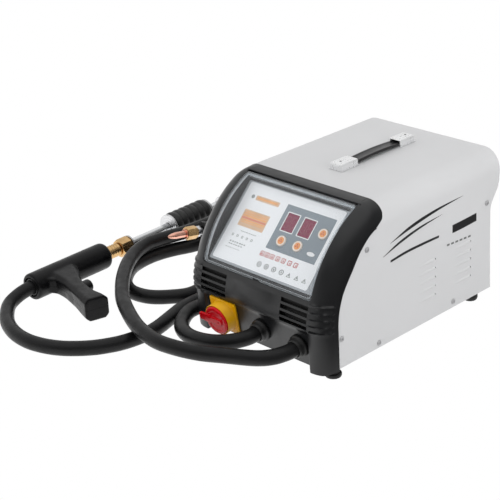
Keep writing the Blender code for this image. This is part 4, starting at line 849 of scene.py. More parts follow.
ink("colour_bar", rrect(-0.0602, 0.1214, 0.0545, 0.0086, 0.0015), INK_TAN)
ink("colour_bar_core", rrect(-0.0602, 0.1214, 0.0470, 0.0034, 0.0010), INK_ORANGE, level=1)
ink("grey_dot", [(-0.0952 + 0.0036 * math.cos(math.tau * k / 24), 0.1216 + 0.0036 * math.sin(math.tau * k / 24)) for k in range(24)], INK_DUST)
ink("picture_block", rrect(-0.0678, 0.0818, 0.0590, 0.0310, 0.0014), INK_TAN)
for k, (w, h, dy) in enumerate(((0.0500, 0.0012, 0.0122), (0.0540, 0.0020, 0.0088), (0.0540, 0.0030, 0.0046), (0.0552, 0.0034, 0.0002), (0.0540, 0.0024, -0.0040), (0.0500, 0.0014, -0.0076))):
    ink(f"picture_band_{k + 1}", rrect(-0.0678, 0.0818 + dy, w, h, 0.0005), INK_PINK if k == 3 else INK_ORANGE, level=1)
random.seed(4)
for k in range(5):
    x = -0.0955 + 0.0112 * k
    ink(f"small_symbol_{k + 1}", rrect(x, 0.0480, 0.0042, 0.0046, 0.0012, 3), INK_DUST, [rrect(x, 0.0480, 0.0022, 0.0024, 0.0006, 2)])
for r, (t, x0, x1, h) in enumerate(((0.0580, -0.0830, -0.0471, 0.0015), (0.0362, -0.0952, -0.0586, 0.0024), (0.0316, -0.0948, -0.0600, 0.0018), (0.0250, -0.0980, -0.0640, 0.0010))):
    x = x0
    k = 0
    while x < x1 - 0.002:
        w = min(x1 - x, random.uniform(0.0020, 0.0042))
        ink(f"rule_{r + 1}_{k + 1}", rrect(x + w / 2, t, w, h, h * 0.3, 2), INK_DUST)
        x += w + random.uniform(0.0014, 0.0026)
        k += 1
for k, x in enumerate((-0.0161, -0.0046, 0.0069, 0.0198, 0.0326, 0.0468, 0.0604)):
    ink(f"red_key_{k + 1}", rrect(x, 0.0342, 0.0086, 0.0086, 0.0012), INK_RED, [rrect(x, 0.0342, 0.0062, 0.0062, 0.0008)])
    ink(f"red_key_mark_{k + 1}", rounded([(x - 0.0024 + 0.0003 * k, 0.0319, 0.0003), (x + 0.0024, 0.0326, 0.0003), (x + 0.0004 * (k - 3), 0.0366, 0.0003)], 2), INK_RED)
for k, x in enumerate((-0.0110, 0.0055, 0.0229, 0.0400, 0.0571, 0.0745, 0.0915)):
    if k < 4:
        ring = [(x + 0.0047 * math.cos(math.tau * j / 28), 0.0152 + 0.0047 * math.sin(math.tau * j / 28)) for j in range(28)]
        hole = [(x + 0.0034 * math.cos(math.tau * j / 28), 0.0152 + 0.0036 * math.sin(math.tau * j / 28)) for j in range(28)]
    else:
        ring = rounded([(x - 0.0050, 0.0112, 0.0006), (x + 0.0050, 0.0112, 0.0006), (x, 0.0195, 0.0006)], 3)
        hole = rounded([(x - 0.0032, 0.0123, 0.0004), (x + 0.0032, 0.0123, 0.0004), (x, 0.0175, 0.0004)], 3)
    ink(f"grey_key_{k + 1}", ring, INK_MARK if k < 4 else INK_DUST, [hole])
    ink(f"grey_key_mark_{k + 1}", rrect(x, 0.0150, 0.0018 + 0.0003 * (k % 3), 0.0034, 0.0003, 2), INK_MARK if k < 4 else INK_DUST)
ink("oval_mark", [(0.0775 + 0.0085 * math.cos(math.tau * k / 28), 0.0600 + 0.0036 * math.sin(math.tau * k / 28)) for k in range(28)], INK_WHITE, level=1)

# ------------------------------------------------------------------ main switch
SW = frame_to(on_face(*SWITCH), FACE_OUT)
plate = prism("switch_guard_plate", rrect(0, 0, 0.0615, 0.0595, 0.0022, 5), 0.0003, 0.0033, YELLOW, SW, None, holes=[[(0.0075 * math.cos(math.tau * k / 32), 0.0075 * math.sin(math.tau * k / 32)) for k in range(32)]])
bevel(plate, 0.0006, 2)
apply_mods(plate)
smooth_again(plate, 40)
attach(plate, "root")
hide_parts("switch_plate")


shroud = lathe("switch_guard_ring", [(0.0268, 0.0031), (0.0264, 0.0036), (0.0264, 0.0206), (0.0267, 0.0213), (0.0272, 0.0216), (0.0278, 0.0214), (0.0282, 0.0206), (0.0285, 0.0044), (0.0290, 0.0036), (0.0296, 0.0031)],
               YELLOW, SW, "root", 96, closed=True)
for k, (a, b, w, h) in enumerate(((0.0, 0.0258, 0.0075, 0.0022),)):
    o = prism(f"switch_plate_slot_{k + 1}", rrect(a, b + 0.0025, w, h * 0.5, 0.0005, 3), 0.0030, 0.00345, INK_BLACK, SW)


def build_knob():
    prof = [(0, 0.0240), (0.0178, 0.0240), (0.0183, 0.0243), (0.0188, 0.0249), (0.0235, 0.0249), (0.0246, 0.0245), (0.0252, 0.0236), (0.0256, 0.0222), (0.0256, 0.0048), (0.0062, 0.0048), (0.0062, -0.0060), (0, -0.0060)]
    o = lathe("switch_rotary_knob", prof, RED, SW, None, 96)
    # local x of the switch frame runs along the machine's x; the grip tab points to the machine's left
    left = -1 if (SW.to_3x3() @ Vector((1, 0, 0))).x > 0 else 1
    tab = prism("t", rounded([(left * 0.012, -0.0080, 0.001), (left * 0.0388, -0.0068, 0.0035), (left * 0.0388, 0.0068, 0.0035), (left * 0.012, 0.0080, 0.001)], 5), 0.0224, 0.0264, RED, SW, None)
    grip = prism("g", rrect(left * 0.004, 0, 0.040, 0.0104, 0.0048, 6), 0.019, 0.0266, RED, SW, None)
    boolean(o, [tab, grip], "UNION")
    holes = []
    for k in range(3):
        a = R(30 + 120 * k)
        holes.append(prism(f"d{k}", [(0.0210 * math.cos(a) + 0.0013 * math.cos(math.tau * j / 16), 0.0210 * math.sin(a) + 0.0013 * math.sin(math.tau * j / 16)) for j in range(16)], 0.0232, 0.03, RED, SW, None))
    holes.append(prism("d9", [(left * -0.0085 + 0.0016 * math.cos(math.tau * j / 16), 0.0016 * math.sin(math.tau * j / 16)) for j in range(16)], 0.0242, 0.03, RED, SW, None))
    boolean(o, holes)
    mod = o.modifiers.new("r", "REMESH")
    mod.mode, mod.voxel_size, mod.use_smooth_shade = "VOXEL", 0.00045, True
    mod = o.modifiers.new("s", "SMOOTH")
    mod.factor, mod.iterations = 0.5, 4
    apply_mods(o)
    o.data.materials.clear()
    o.data.materials.append(RED)
    for p in o.data.polygons:
        p.material_index = 0
    smooth_again(o, 50)
    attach(o, "main_switch")
    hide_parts("switch_knob")


build_knob()

# ------------------------------------------------------------------ lead glands
CABLE_R = 0.0132
for label, x in GLANDS.items():
    prof = [(0.0139, 0.0150), (0.0144, 0.0155), (0.0151, 0.0153), (0.0158, 0.0143), (0.0163, 0.0126), (0.0167, 0.0104), (0.0171, 0.0078), (0.0178, 0.0062), (0.0190, 0.0052), (0.0196, 0.0040), (0.0196, 0.0010),
            (0.0192, 0.0003), (0.0154, 0.0003), (0.0154, -0.0100), (0.0139, -0.0100)]
    o = lathe(f"lead_gland_{label}", prof, SOFT_RUBBER, frame_to(on_face(x, GLAND_Z), FACE_OUT), "root", 72, closed=True)
    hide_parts(f"gland_{label}")
o = lathe("mains_lead_gland", [(0.0070, 0.0200), (0.0083, 0.0204), (0.0088, 0.0198), (0.0110, 0.0085), (0.0135, 0.0078), (0.0141, 0.0070), (0.0141, 0.0008), (0.0137, 0.0003), (0.0095, 0.0003), (0.0095, -0.0120), (0.0045, -0.0120), (0.0045, 0.0200)],
          BLACK, frame_to((-0.105, 0.3996, FOOT + 0.045), (0, 1, 0)), "root", 48, closed=True)
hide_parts("mains_gland")

# ------------------------------------------------------------------ welding leads
R_LEAD = CABLE_R


def from_gland(x, out):
    return tuple(on_face(x, GLAND_Z, out))


LOW, OVER = R_LEAD + 0.0002, 0.0415
GUN_LEAD = [
    (0.097, 0.020, GLAND_Z + 0.0060), from_gland(0.097, -0.012), from_gland(0.097, 0.0015), from_gland(0.097, 0.014),
    (0.0945, -0.052, 0.0445), (0.0855, -0.0735, 0.0430), (0.0660, -0.0935, 0.0420), (0.0240, -0.1170, OVER),
    (-0.0230, -0.1420, OVER), (-0.0790, -0.1565, OVER), (-0.1210, -0.1560, OVER), (-0.1800, -0.1390, OVER),
    (-0.2560, -0.1000, OVER), (-0.3010, -0.0670, OVER), (-0.3430, -0.0290, OVER), (-0.3820, 0.0150, OVER),
    (-0.4080, 0.0560, OVER), (-0.4200, 0.0920, OVER), (-0.4200, 0.1160, OVER), (-0.4150, 0.1450, OVER),
    (-0.4070, 0.1800, OVER), (-0.4040, 0.2200, OVER), (-0.4030, 0.2650, OVER), (-0.3970, 0.3100, OVER),
    (-0.3800, 0.3520, 0.0385), (-0.3500, 0.3800, 0.0320), (-0.3100, 0.3870, 0.0240), (-0.2730, 0.3720, 0.0160),
    (-0.2500, 0.3350, LOW), (-0.2390, 0.2800, LOW), (-0.2365, 0.2000, LOW), (-0.2365, 0.1200, LOW),
    (-0.2365, 0.0650, LOW), (-0.2390, 0.0330, LOW), (-0.2584, 0.0059, LOW), (-0.2799, -0.0137, LOW),
    (-0.3030, -0.0230, LOW), (-0.3273, -0.0242, LOW), (-0.3509, -0.0162, LOW), (-0.3726, -0.0020, LOW),
    (-0.3925, 0.0190, LOW), (-0.4092, 0.0450, LOW), (-0.4175, 0.0730, LOW), (-0.4200, 0.1000, LOW),
    (-0.4170, 0.1280, LOW), (-0.4090, 0.1560, LOW), (-0.3960, 0.1880, LOW), (-0.3880, 0.2350, LOW),
    (-0.3920, 0.2850, LOW), (-0.3990, 0.3300, LOW), (-0.3940, 0.3700, LOW), (-0.3700, 0.4020, LOW),
    (-0.3200, 0.4180, LOW), (-0.2620, 0.4120, LOW), (-0.2260, 0.3820, LOW), (-0.2100, 0.3300, LOW),
    (-0.2070, 0.2500, LOW), (-0.2070, 0.1500, LOW), (-0.2070, 0.0700, LOW), (-0.2070, 0.0140, LOW),
    (-0.2040, -0.0150, LOW), (-0.1950, -0.0450, LOW), (-0.1830, -0.0850, LOW), (-0.1790, -0.1150, LOW),
    (-0.1840, -0.1560, LOW), (-0.1950, -0.1850, LOW), (-0.2130, -0.2130, LOW), (-0.2383, -0.2374, LOW),
    (-0.2607, -0.2521, LOW), (-0.2874, -0.2625, LOW), (-0.3180, -0.2680, LOW), (-0.3560, -0.2650, LOW),
    (-0.3950, -0.2520, LOW), (-0.4280, -0.2315, LOW + 0.0005), (-0.4550, -0.2060, 0.0160), (-0.4636, -0.1800, 0.0215),
    (-0.4641, -0.1600, 0.0255), (-0.4647, -0.1490, 0.0262), (-0.4656, -0.1290, 0.0262), (-0.4665, -0.1090, 0.0262)]
HOLDER_TIP = Vector((-0.3691, 0.1058, 0.0670))
HOLDER_DIR = Vector((0.0057, 0.0730, -0.0110)).normalized()


def holder(along):
    return HOLDER_TIP + HOLDER_DIR * along


EARTH_LEAD = [
    (0.010, 0.020, GLAND_Z + 0.0060), from_gland(0.010, -0.012), from_gland(0.010, 0.0015), from_gland(0.010, 0.014),
    (0.0075, -0.0560, 0.0440), (-0.0080, -0.0780, 0.0410), (-0.0360, -0.0920, 0.0360), (-0.0750, -0.0950, 0.0300),
    (-0.1090, -0.0880, 0.0260), (-0.1380, -0.0720, 0.0240), (-0.1600, -0.0470, 0.0230), (-0.1725, -0.0220, 0.0225),
    (-0.1770, 0.0050, 0.0200), (-0.1780, 0.0400, 0.0165), (-0.1780, 0.0900, 0.0165), (-0.1780, 0.1400, 0.0230),
    (-0.1790, 0.1850, 0.0320), (-0.1870, 0.2300, 0.0400), (-0.2100, 0.2730, OVER), (-0.2450, 0.3080, OVER),
    (-0.2830, 0.3340, OVER), (-0.3180, 0.3400, OVER), (-0.3430, 0.3270, 0.0405), tuple(holder(0.1950)), tuple(holder(0.1750)), tuple(holder(0.1450))]

for word, points in (("gun", GUN_LEAD), ("earth", EARTH_LEAD)):
    path = catmull(points, 0.0055)
    lead = sweep(f"welding_lead_{word}", path, R_LEAD, RUBBER, "root", 32)
    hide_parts(f"{word}_cable")

# ------------------------------------------------------------------ hand electrode
HB = frame_to(HOLDER_TIP, HOLDER_DIR)
tip = lathe("electrode_point", [(0, 0), (0.0012, 0.0002), (0.0020, 0.0010), (0.0030, 0.0030), (0.0040, 0.0058), (0.0049, 0.0092), (0.0056, 0.0126), (0.0061, 0.0160), (0.0063, 0.0190), (0.0063, 0.0950), (0, 0.0950)], COPPER, HB, "root", 56, smooth=50)
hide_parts("electrode_tip")


def hex_nut(name, radius, z0, z1, bore, mats, matrix, body, spin=0.0, chamfer=0.0022, grooves=(), soften=0.0004):
    """A hexagonal nut with turned chamfers on both ends."""
    outline = [(radius * math.cos(R(60 * k) + spin), radius * math.sin(R(60 * k) + spin)) for k in range(6)]
    o = prism(name, outline, z0, z1, mats, matrix, None)
    inner = radius * math.cos(R(30))
    turned = lathe("c", [(0, z0), (inner * 0.97, z0), (radius * 1.001, z0 + chamfer), *[q for a, b, d in grooves for q in ((radius * 1.02, a - 0.0002), (inner * d, a + 0.0004), (inner * d, b - 0.0004), (radius * 1.02, b + 0.0002))],
                         (radius * 1.001, z1 - chamfer), (inner * 0.97, z1), (0, z1)], mats, matrix, None, 72)
    boolean(o, [turned], "INTERSECT")
    hole = lathe("h", [(0, z0 - 0.01), (bore, z0 - 0.01), (bore, z1 + 0.01), (0, z1 + 0.01)], mats, matrix, None, 48)
    boolean(o, [hole])
    o.data.materials.clear()
    o.data.materials.append(mats)
    for p in o.data.polygons:
        p.material_index = 0
    if soften:
        bevel(o, soften, 2, 25)
        apply_mods(o)
    smooth_again(o, 30)
    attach(o, body)
    return o


nut = hex_nut("electrode_clamp_nut", 0.0130, 0.0415, 0.0655, 0.0067, BRASS, HB, "electrode_clamp", spin=R(8), chamfer=0.0018)
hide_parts("electrode_nut")
ring = lathe("electrode_nut_ring", [(0.0064, 0.0397), (0.0092, 0.0397), (0.0096, 0.0401), (0.0096, 0.0411), (0.0064, 0.0411)], COPPER, HB, "root", 56, closed=True)
collar = hex_nut("electrode_hex_collar", 0.0108, 0.0668, 0.0792, 0.0067, TURNED, HB, "root", spin=R(20), chamfer=0.0010)
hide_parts("electrode_collar")
prof = [(0.0067, 0.0805), (0.0166, 0.0805), (0.0172, 0.0811), (0.0172, 0.0882), (0.0168, 0.0892), (0.0161, 0.0902), (0.0158, 0.0918)]
for k in range(8):
    z = 0.0945 + 0.0073 * k
    prof += [(0.0158, z), (0.0155, z + 0.0006), (0.0151, z + 0.0012), (0.0151, z + 0.0024), (0.0155, z + 0.0030), (0.0158, z + 0.0036)]
prof += [(0.0160, 0.1560), (0.0165, 0.1620), (0.0172, 0.1680), (0.0175, 0.1710), (0.0175, 0.1866), (0.0169, 0.1879), (0.0158, 0.1884), (0.0142, 0.1880), (0.0137, 0.1860), (0.0137, 0.0980), (0.0067, 0.0980)]
handle = lathe("electrode_grip", prof, GUN_BLACK, HB, "root", 64, closed=True)
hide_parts("electrode_handle")

# ------------------------------------------------------------------ gun: two half shells with a fine seam
GUN_AT = Vector((-0.4728, 0.0308, 0.0262))
GUN = Matrix.Translation(GUN_AT) @ Matrix.Rotation(0.0448, 4, "Z")
AX = GUN @ Matrix(((1, 0, 0, 0), (0, 0, 1, 0), (0, -1, 0, 0), (0, 0, 0, 1)))     # local z runs along the barrel, towards the nose
BARREL_R, BARREL_L = 0.0255, 0.180
GRIP_FROM, GRIP_TO = Vector((0.009, -0.1150, 0)), Vector((0.1650, -0.1640, 0))
gd = (GRIP_TO - GRIP_FROM).normalized()
GRIP_L = (GRIP_TO - GRIP_FROM).length


def grip_form(name, wall, end, corner=0.34):
    """Tapered eight-sided grip; corner is how much of each side its slanted faces take."""
    bm = bmesh.new()
    rings = []
    stations = [k / 20 for k in range(21)]
    for s in stations:
        # waist in the middle, fuller at both ends, as hands like it
        w = 0.0204 + 0.0105 * (1 - smoothstep(0.0, 0.42, s)) + 0.0026 * smoothstep(0.62, 0.96, s) - wall
        h = 0.0205 + 0.0018 * smoothstep(0.62, 0.96, s) - wall
        c = corner
        f = w - 0.0086 * smoothstep(0.14, 0.55, s) * (1 - smoothstep(0.74, 1.0, s))      # hollow under the trigger
        ring = [(f, h * (1 - c)), (f * (1 - c), h), (-w * (1 - c), h), (-w, h * (1 - c)), (-w, -h * (1 - c)), (-w * (1 - c), -h), (f * (1 - c), -h), (f, -h * (1 - c))]
        rings.append([bm.verts.new((x, y, s * (GRIP_L - end))) for x, y in ring])
    for a, b in zip(rings, rings[1:]):
        for k in range(8):
            bm.faces.new((a[k], a[(k + 1) % 8], b[(k + 1) % 8], b[k]))
    bm.faces.new(rings[0][::-1])
    bm.faces.new(rings[-1])
    turn = Matrix(((-gd.y, 0, gd.x, GRIP_FROM.x), (gd.x, 0, gd.y, GRIP_FROM.y), (0, 1, 0, 0), (0, 0, 0, 1)))
    return finish_bm(name, bm, GUN_BLACK, None, 0, matrix=Matrix.Translation(OFF) @ GUN @ turn)


def build_gun():
    body = lathe("gun_form", [(0, -BARREL_L), (0.0228, -BARREL_L), (0.0246, -BARREL_L + 0.0012), (BARREL_R, -BARREL_L + 0.0036), (BARREL_R, -0.0060), (0.0250, -0.0036), (0.0238, -0.0012), (0.0222, 0), (0, 0)], GUN_BLACK, AX, None, 72)
    boolean(body, [grip_form("gf", 0.0, 0.0)], "UNION")
    # filler that rounds the crotch between the tail of the barrel and the grip
    web = prism("web", rounded([(0.004, -0.156, 0.004), (0.018, -0.158, 0.008), (0.038, -0.150, 0.012), (0.046, -0.118, 0.008), (0.004, -0.100, 0.004)], 5), -0.0150, 0.0150, GUN_BLACK, GUN, None)
    boolean(body, [web], "UNION")
    mod = body.modifiers.new("r", "REMESH")
    mod.mode, mod.voxel_size, mod.use_smooth_shade = "VOXEL", 0.0011, True
    mod = body.modifiers.new("s", "SMOOTH")
    mod.factor, mod.iterations = 0.5, 34
    apply_mods(body)
    tools = [lathe("t1", [(0, -BARREL_L + 0.005), (BARREL_R - 0.0025, -BARREL_L + 0.005), (BARREL_R - 0.0025, -0.005), (0, -0.005)], GUN_BLACK, AX, None, 48),
             grip_form("t2", 0.0026, 0.004),
             lathe("t3", [(0, -0.02), (0.0136, -0.02), (0.0136, 0.02), (0, 0.02)], GUN_BLACK, AX, None, 48),
             lathe("t4", [(0, -BARREL_L - 0.02), (0.0188, -BARREL_L - 0.02), (0.0188, -BARREL_L + 0.02), (0, -BARREL_L + 0.02)], GUN_BLACK, AX, None, 48),
             lathe("t5", [(0, -0.012), (0.0125, -0.012), (0.0125, 0.025), (0, 0.025)], GUN_BLACK, GUN @ Matrix.Translation((0.0790, -0.1260, 0)) @ Matrix(((1, 0, 0, 0), (0, 0, 1, 0), (0, -1, 0, 0), (0, 0, 0, 1))), None, 48)]
    boolean(body, tools)
    for word, up in (("upper", 1), ("lower", -1)):
        half = bpy.data.objects.new(f"gun_half_{word}", body.data.copy())
        bpy.context.scene.collection.objects.link(half)
        half.matrix_world = body.matrix_world.copy()
        cut = block("cut", (0.5, 0.7, 0.10), (0, 0, 0), DARK, None)
        cut.matrix_world = Matrix.Translation(OFF) @ GUN @ Matrix.Translation((0, 0, -up * (0.05 - 0.00018)))
        boolean(half, [cut])
        half.data.materials.clear()
        half.data.materials.append(GUN_BLACK)
        for p in half.data.polygons:
            p.material_index = 0
        smooth_again(half, 38)
        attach(half, "root")
        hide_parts(f"gun_shell_{word}")
    remove(body)


build_gun()
# rubber bush where the lead enters the tail
bush = lathe("gun_tail_bush", [(0.0136, -BARREL_L + 0.0016), (0.0142, -BARREL_L + 0.0006), (0.0156, -BARREL_L + 0.0010), (0.0164, -BARREL_L + 0.0034), (0.0186, -BARREL_L + 0.0044), (0.0186, -BARREL_L + 0.0120), (0.0136, -BARREL_L + 0.0120)], SOFT_RUBBER, AX, "root", 56, closed=True)
trig = lathe("gun_push_trigger", [(0, 0.0179), (0.0050, 0.0180), (0.0086, 0.0177), (0.0105, 0.0169), (0.0116, 0.0155), (0.0120, 0.0138), (0.0120, -0.0100), (0, -0.0100)], BLACK,
             GUN @ Matrix.Translation((0.0790, -0.1240, 0)) @ Matrix(((1, 0, 0, 0), (0, 0, 1, 0), (0, -1, 0, 0), (0, 0, 0, 1))), "trigger", 56)
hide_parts("gun_trigger")
for k, (x, y) in enumerate(((-0.002, -0.028), (0.0, -0.158), (0.105, -0.146))):
    o = lathe(f"gun_shell_screw_{k + 1}", [(0, 0.0006), (0.0012, 0.0006), (0.0013, 0.0012), (0.0026, 0.0012), (0.0030, 0.0008), (0.0030, -0.0010), (0, -0.0010)], ZINC, GUN @ Matrix.Translation((x, y, -0.0246 if k < 2 else -0.0196)) @ Matrix.Rotation(math.pi, 4, "X"), "root", 24)

# nose fitting: coarse rounded threads, then a larger hexagon nut, lock washer and chromed rod
prof = [(0, 0.0350), (0.0112, 0.0350), (0.0122, 0.0344)]
for k in range(5):
    z = 0.0334 - 0.0062 * k
    prof += [(0.0127, z), (0.0130, z - 0.0012), (0.0130, z - 0.0024), (0.0126, z - 0.0036), (0.0116, z - 0.0044), (0.0114, z - 0.0052)]
prof += [(0.0130, 0.0010), (0.0130, -0.0300), (0.0080, -0.0310), (0.0080, -0.0600), (0, -0.0600)]
nose = lathe("gun_nose_fitting", prof, BRASS, AX, "root", 64, smooth=60)
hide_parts("nose_fitting")
chuck = hex_nut("gun_chuck_nut", 0.0185, 0.0355, 0.0618, 0.0088, BRASS, AX, "chuck", spin=R(14), chamfer=0.0030)
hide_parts("chuck_nut")
washer = lathe("gun_lock_washer", [(0.0088, 0.0624), (0.0088, 0.0660), (0.0174, 0.0660), (0.0180, 0.0654), (0.0180, 0.0630), (0.0174, 0.0624)], TURNED, AX, "root", 64, closed=True)
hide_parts("lock_washer")
rod = lathe("hammer_slide_rod", [(0, 0.3280), (0.0080, 0.3280), (0.0085, 0.3272), (0.0085, 0.0358), (0, 0.0358)], STEEL, AX, "root", 64)
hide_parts("slide_rod")
stop = lathe("hammer_end_stop", [(0, 0.3424), (0.0100, 0.3424), (0.0120, 0.3418), (0.0136, 0.3406), (0.0145, 0.3388), (0.0145, 0.3320), (0.0138, 0.3312), (0.0138, 0.3294), (0.0145, 0.3286), (0.0145, 0.3190), (0.0138, 0.3181), (0.0088, 0.3181), (0.0088, 0.3283), (0, 0.3283)], TURNED, AX, "root", 64)
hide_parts("rod_end_stop")
H0, H1 = 0.170, 0.278
prof = [(0.0088, H0 + 0.0012), (0.0092, H0), (0.0120, H0), (0.0124, H0 + 0.0004), (0.0124, H0 + 0.0011), (0.0132, H0 + 0.0013), (0.0172, H0 + 0.0013), (0.0176, H0 + 0.0009), (0.0180, H0 + 0.0009), (0.0184, H0 + 0.0013), (0.0210, H0 + 0.0013), (0.0214, H0 + 0.0008),
        (0.0220, H0 + 0.0004), (0.0236, H0 + 0.0004), (0.0243, H0 + 0.0012), (0.0245, H0 + 0.0022), (0.0245, H0 + 0.0052), (0.0240, H0 + 0.0060), (0.0160, H0 + 0.0060), (0.0160, H1 - 0.0050), (0.0230, H1 - 0.0050), (0.0238, H1 - 0.0042), (0.0238, H1 - 0.0010), (0.0230, H1), (0.0088, H1)]
weight = lathe("slide_hammer_weight", prof, TURNED, AX, "hammer", 72, closed=True)
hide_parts("hammer_weight")
prof = [(0.0163, H0 + 0.0064), (0.0234, H0 + 0.0064), (0.0242, H0 + 0.0068)]
count, top, bottom = 6, H1 - 0.0056, H0 + 0.0075
pitch = (top - bottom) / count
for k in range(count):
    for j in range(20):
        u = (j + 0.5) / 20
        w = abs(math.sin(math.pi * u)) ** 0.62
        prof.append((0.0226 + 0.0030 * w, bottom + pitch * (k + u)))
prof += [(0.0236, H1 - 0.0055), (0.0230, H1 - 0.0053), (0.0163, H1 - 0.0053)]
grip = lathe("slide_hammer_grip", prof, SOFT_RUBBER, AX, "hammer", 72, smooth=60, closed=True)
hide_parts("hammer_grip")

# ------------------------------------------------------------------ carrying handle
def build_cap(word, y0, y1, open_low, open_high):
    h = 0.0125
    o = block(f"handle_end_{word}", (0.028, y1 - y0, h), (0, (y0 + y1) / 2, TOP + h / 2 + 0.0003), CAP, None, bev=0.0036, seg=6)
    foot = block("f", (0.0290, y1 - y0 + 0.0010, 0.0020), (0, (y0 + y1) / 2, TOP + 0.0003 + 0.0010), CAP, None, bev=0.0007, seg=2)
    boolean(o, [foot], "UNION")
    slot = block("s", (0.0226, open_high - open_low, 0.0090), (0, (open_low + open_high) / 2, TOP + 0.0064), CAP, None)
    boolean(o, [slot])
    o.data.materials.clear()
    o.data.materials.append(CAP)
    for p in o.data.polygons:
        p.material_index = 0
    bevel(o, 0.0003, 2, 40)
    apply_mods(o)
    smooth_again(o, 35)
    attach(o, "root")
    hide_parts(f"handle_cap_{word}")


for word, y in (("front", 0.1900), ("rear", 0.3600)):
    # the rivet heads are coloured dark grey so that they read as the dark hole on each cap: painted shade
    dot = lathe(f"handle_cap_shade_dot_{word}", [(0, 0.0009), (0.0012, 0.0008), (0.0020, 0.0003), (0.0022, -0.0015), (0, -0.0015)], INK_MARK, Matrix.Translation((0.0, y, TOP + 0.0128)), "root", 24)
build_cap("front", 0.177, 0.2205, 0.187, 0.25)
build_cap("rear", 0.3315, 0.3705, 0.30, 0.3625)


def build_strap():
    bm = bmesh.new()
    rings = []
    n = 56
    # cross-section: flat underside, two raised ridges along the top
    sec = [(-0.0110, 0.0008), (-0.0106, 0.0002), (-0.0098, 0.0), (0.0098, 0.0), (0.0106, 0.0002), (0.0110, 0.0008), (0.0110, 0.0044), (0.0106, 0.0051), (0.0098, 0.0054), (0.0086, 0.0055), (0.0074, 0.0053), (0.0066, 0.0048), (0.0054, 0.0044),
           (0.0, 0.0043), (-0.0054, 0.0044), (-0.0066, 0.0048), (-0.0074, 0.0053), (-0.0086, 0.0055), (-0.0098, 0.0054), (-0.0106, 0.0051), (-0.0110, 0.0044)]
    for k in range(n + 1):
        y = 0.190 + (0.3600 - 0.190) * k / n
        rise = 0.0020 * max(0.0, 1 - ((y - 0.275) / 0.054) ** 2)
        rings.append([bm.verts.new((x, y, TOP + 0.0026 + rise + z * 0.87)) for x, z in sec])
    m = len(sec)
    for a, b in zip(rings, rings[1:]):
        for k in range(m):
            bm.faces.new((a[k], a[(k + 1) % m], b[(k + 1) % m], b[k]))
    bm.faces.new(rings[0][::-1])
    bm.faces.new(rings[-1])
    o = finish_bm("handle_strap_skin", bm, STRAP, "strap", 50)
    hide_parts("handle_strap")


build_strap()

# ------------------------------------------------------------------ feet
FRONT_FOOT = [(0, 0.0137), (0.0105, 0.0137), (0.0105, 0.0074), (0.0136, 0.0070), (0.0142, 0.0058), (0.0141, 0.0030), (0.0132, 0.0008), (0.0104, 0.0), (0.0050, 0.0), (0.0048, 0.0030), (0, 0.0030)]
REAR_FOOT = [(0, FOOT - 0.0003), (0.0112, FOOT - 0.0003), (0.0128, FOOT * 0.82), (0.0138, FOOT * 0.58), (0.0137, FOOT * 0.36), (0.0128, 0.0020), (0.0118, 0.0006), (0.0104, 0.0), (0.0050, 0.0), (0.0048, 0.0030), (0, 0.0030)]
for word, x, y, form in (("front_left", -0.148, 0.000, FRONT_FOOT), ("front_right", 0.148, 0.000, FRONT_FOOT), ("rear_left", -0.143, 0.366, REAR_FOOT), ("rear_right", 0.143, 0.366, REAR_FOOT)):
    o = lathe(f"rubber_foot_{word}", form, SOFT_RUBBER, Matrix.Translation((x, y, 0)), "root", 56)
    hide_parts(f"foot_{word}")

# ------------------------------------------------------------------ side graphics: plain tapering stripes and bars on both sides
def side_strip(name, points, widths, mat, side, lift=0.00016, n=90):
    """A tapering band on the cabinet side; points are (y, z) keys, widths its full widths at those keys."""
    keys = spline_sample(points, n // (len(points) - 1))
    wk = spline_sample([(i, w) for i, w in enumerate(widths)], n // (len(points) - 1))
    bm = bmesh.new()
    lo_row, hi_row, lo_out, hi_out = [], [], [], []
    for i, (y, z) in enumerate(keys):
        a, b = keys[max(i - 1, 0)], keys[min(i + 1, len(keys) - 1)]
        d = Vector((b[0] - a[0], b[1] - a[1])).normalized()
        w = max(0.00004, wk[i][1]) / 2
        ny, nz = -d.y * w, d.x * w
        for row, sgn, x in ((lo_row, -1, SIDE - 0.00002), (hi_row, 1, SIDE - 0.00002), (lo_out, -1, SIDE + lift), (hi_out, 1, SIDE + lift)):
            row.append(bm.verts.new((side * x, y + sgn * ny, z + sgn * nz)))
    for i in range(len(keys) - 1):
        bm.faces.new((lo_out[i], lo_out[i + 1], hi_out[i + 1], hi_out[i]))
        bm.faces.new((lo_row[i], hi_row[i], hi_row[i + 1], lo_row[i + 1]))
        bm.faces.new((lo_row[i], lo_row[i + 1], lo_out[i + 1], lo_out[i]))
        bm.faces.new((hi_row[i], hi_out[i], hi_out[i + 1], hi_row[i + 1]))
    bm.faces.new((lo_row[0], lo_out[0], hi_out[0], hi_row[0]))
    bm.faces.new((lo_row[-1], hi_row[-1], hi_out[-1], lo_out[-1]))
    o = finish_bm(name, bm, mat, "root", 0)
    return o


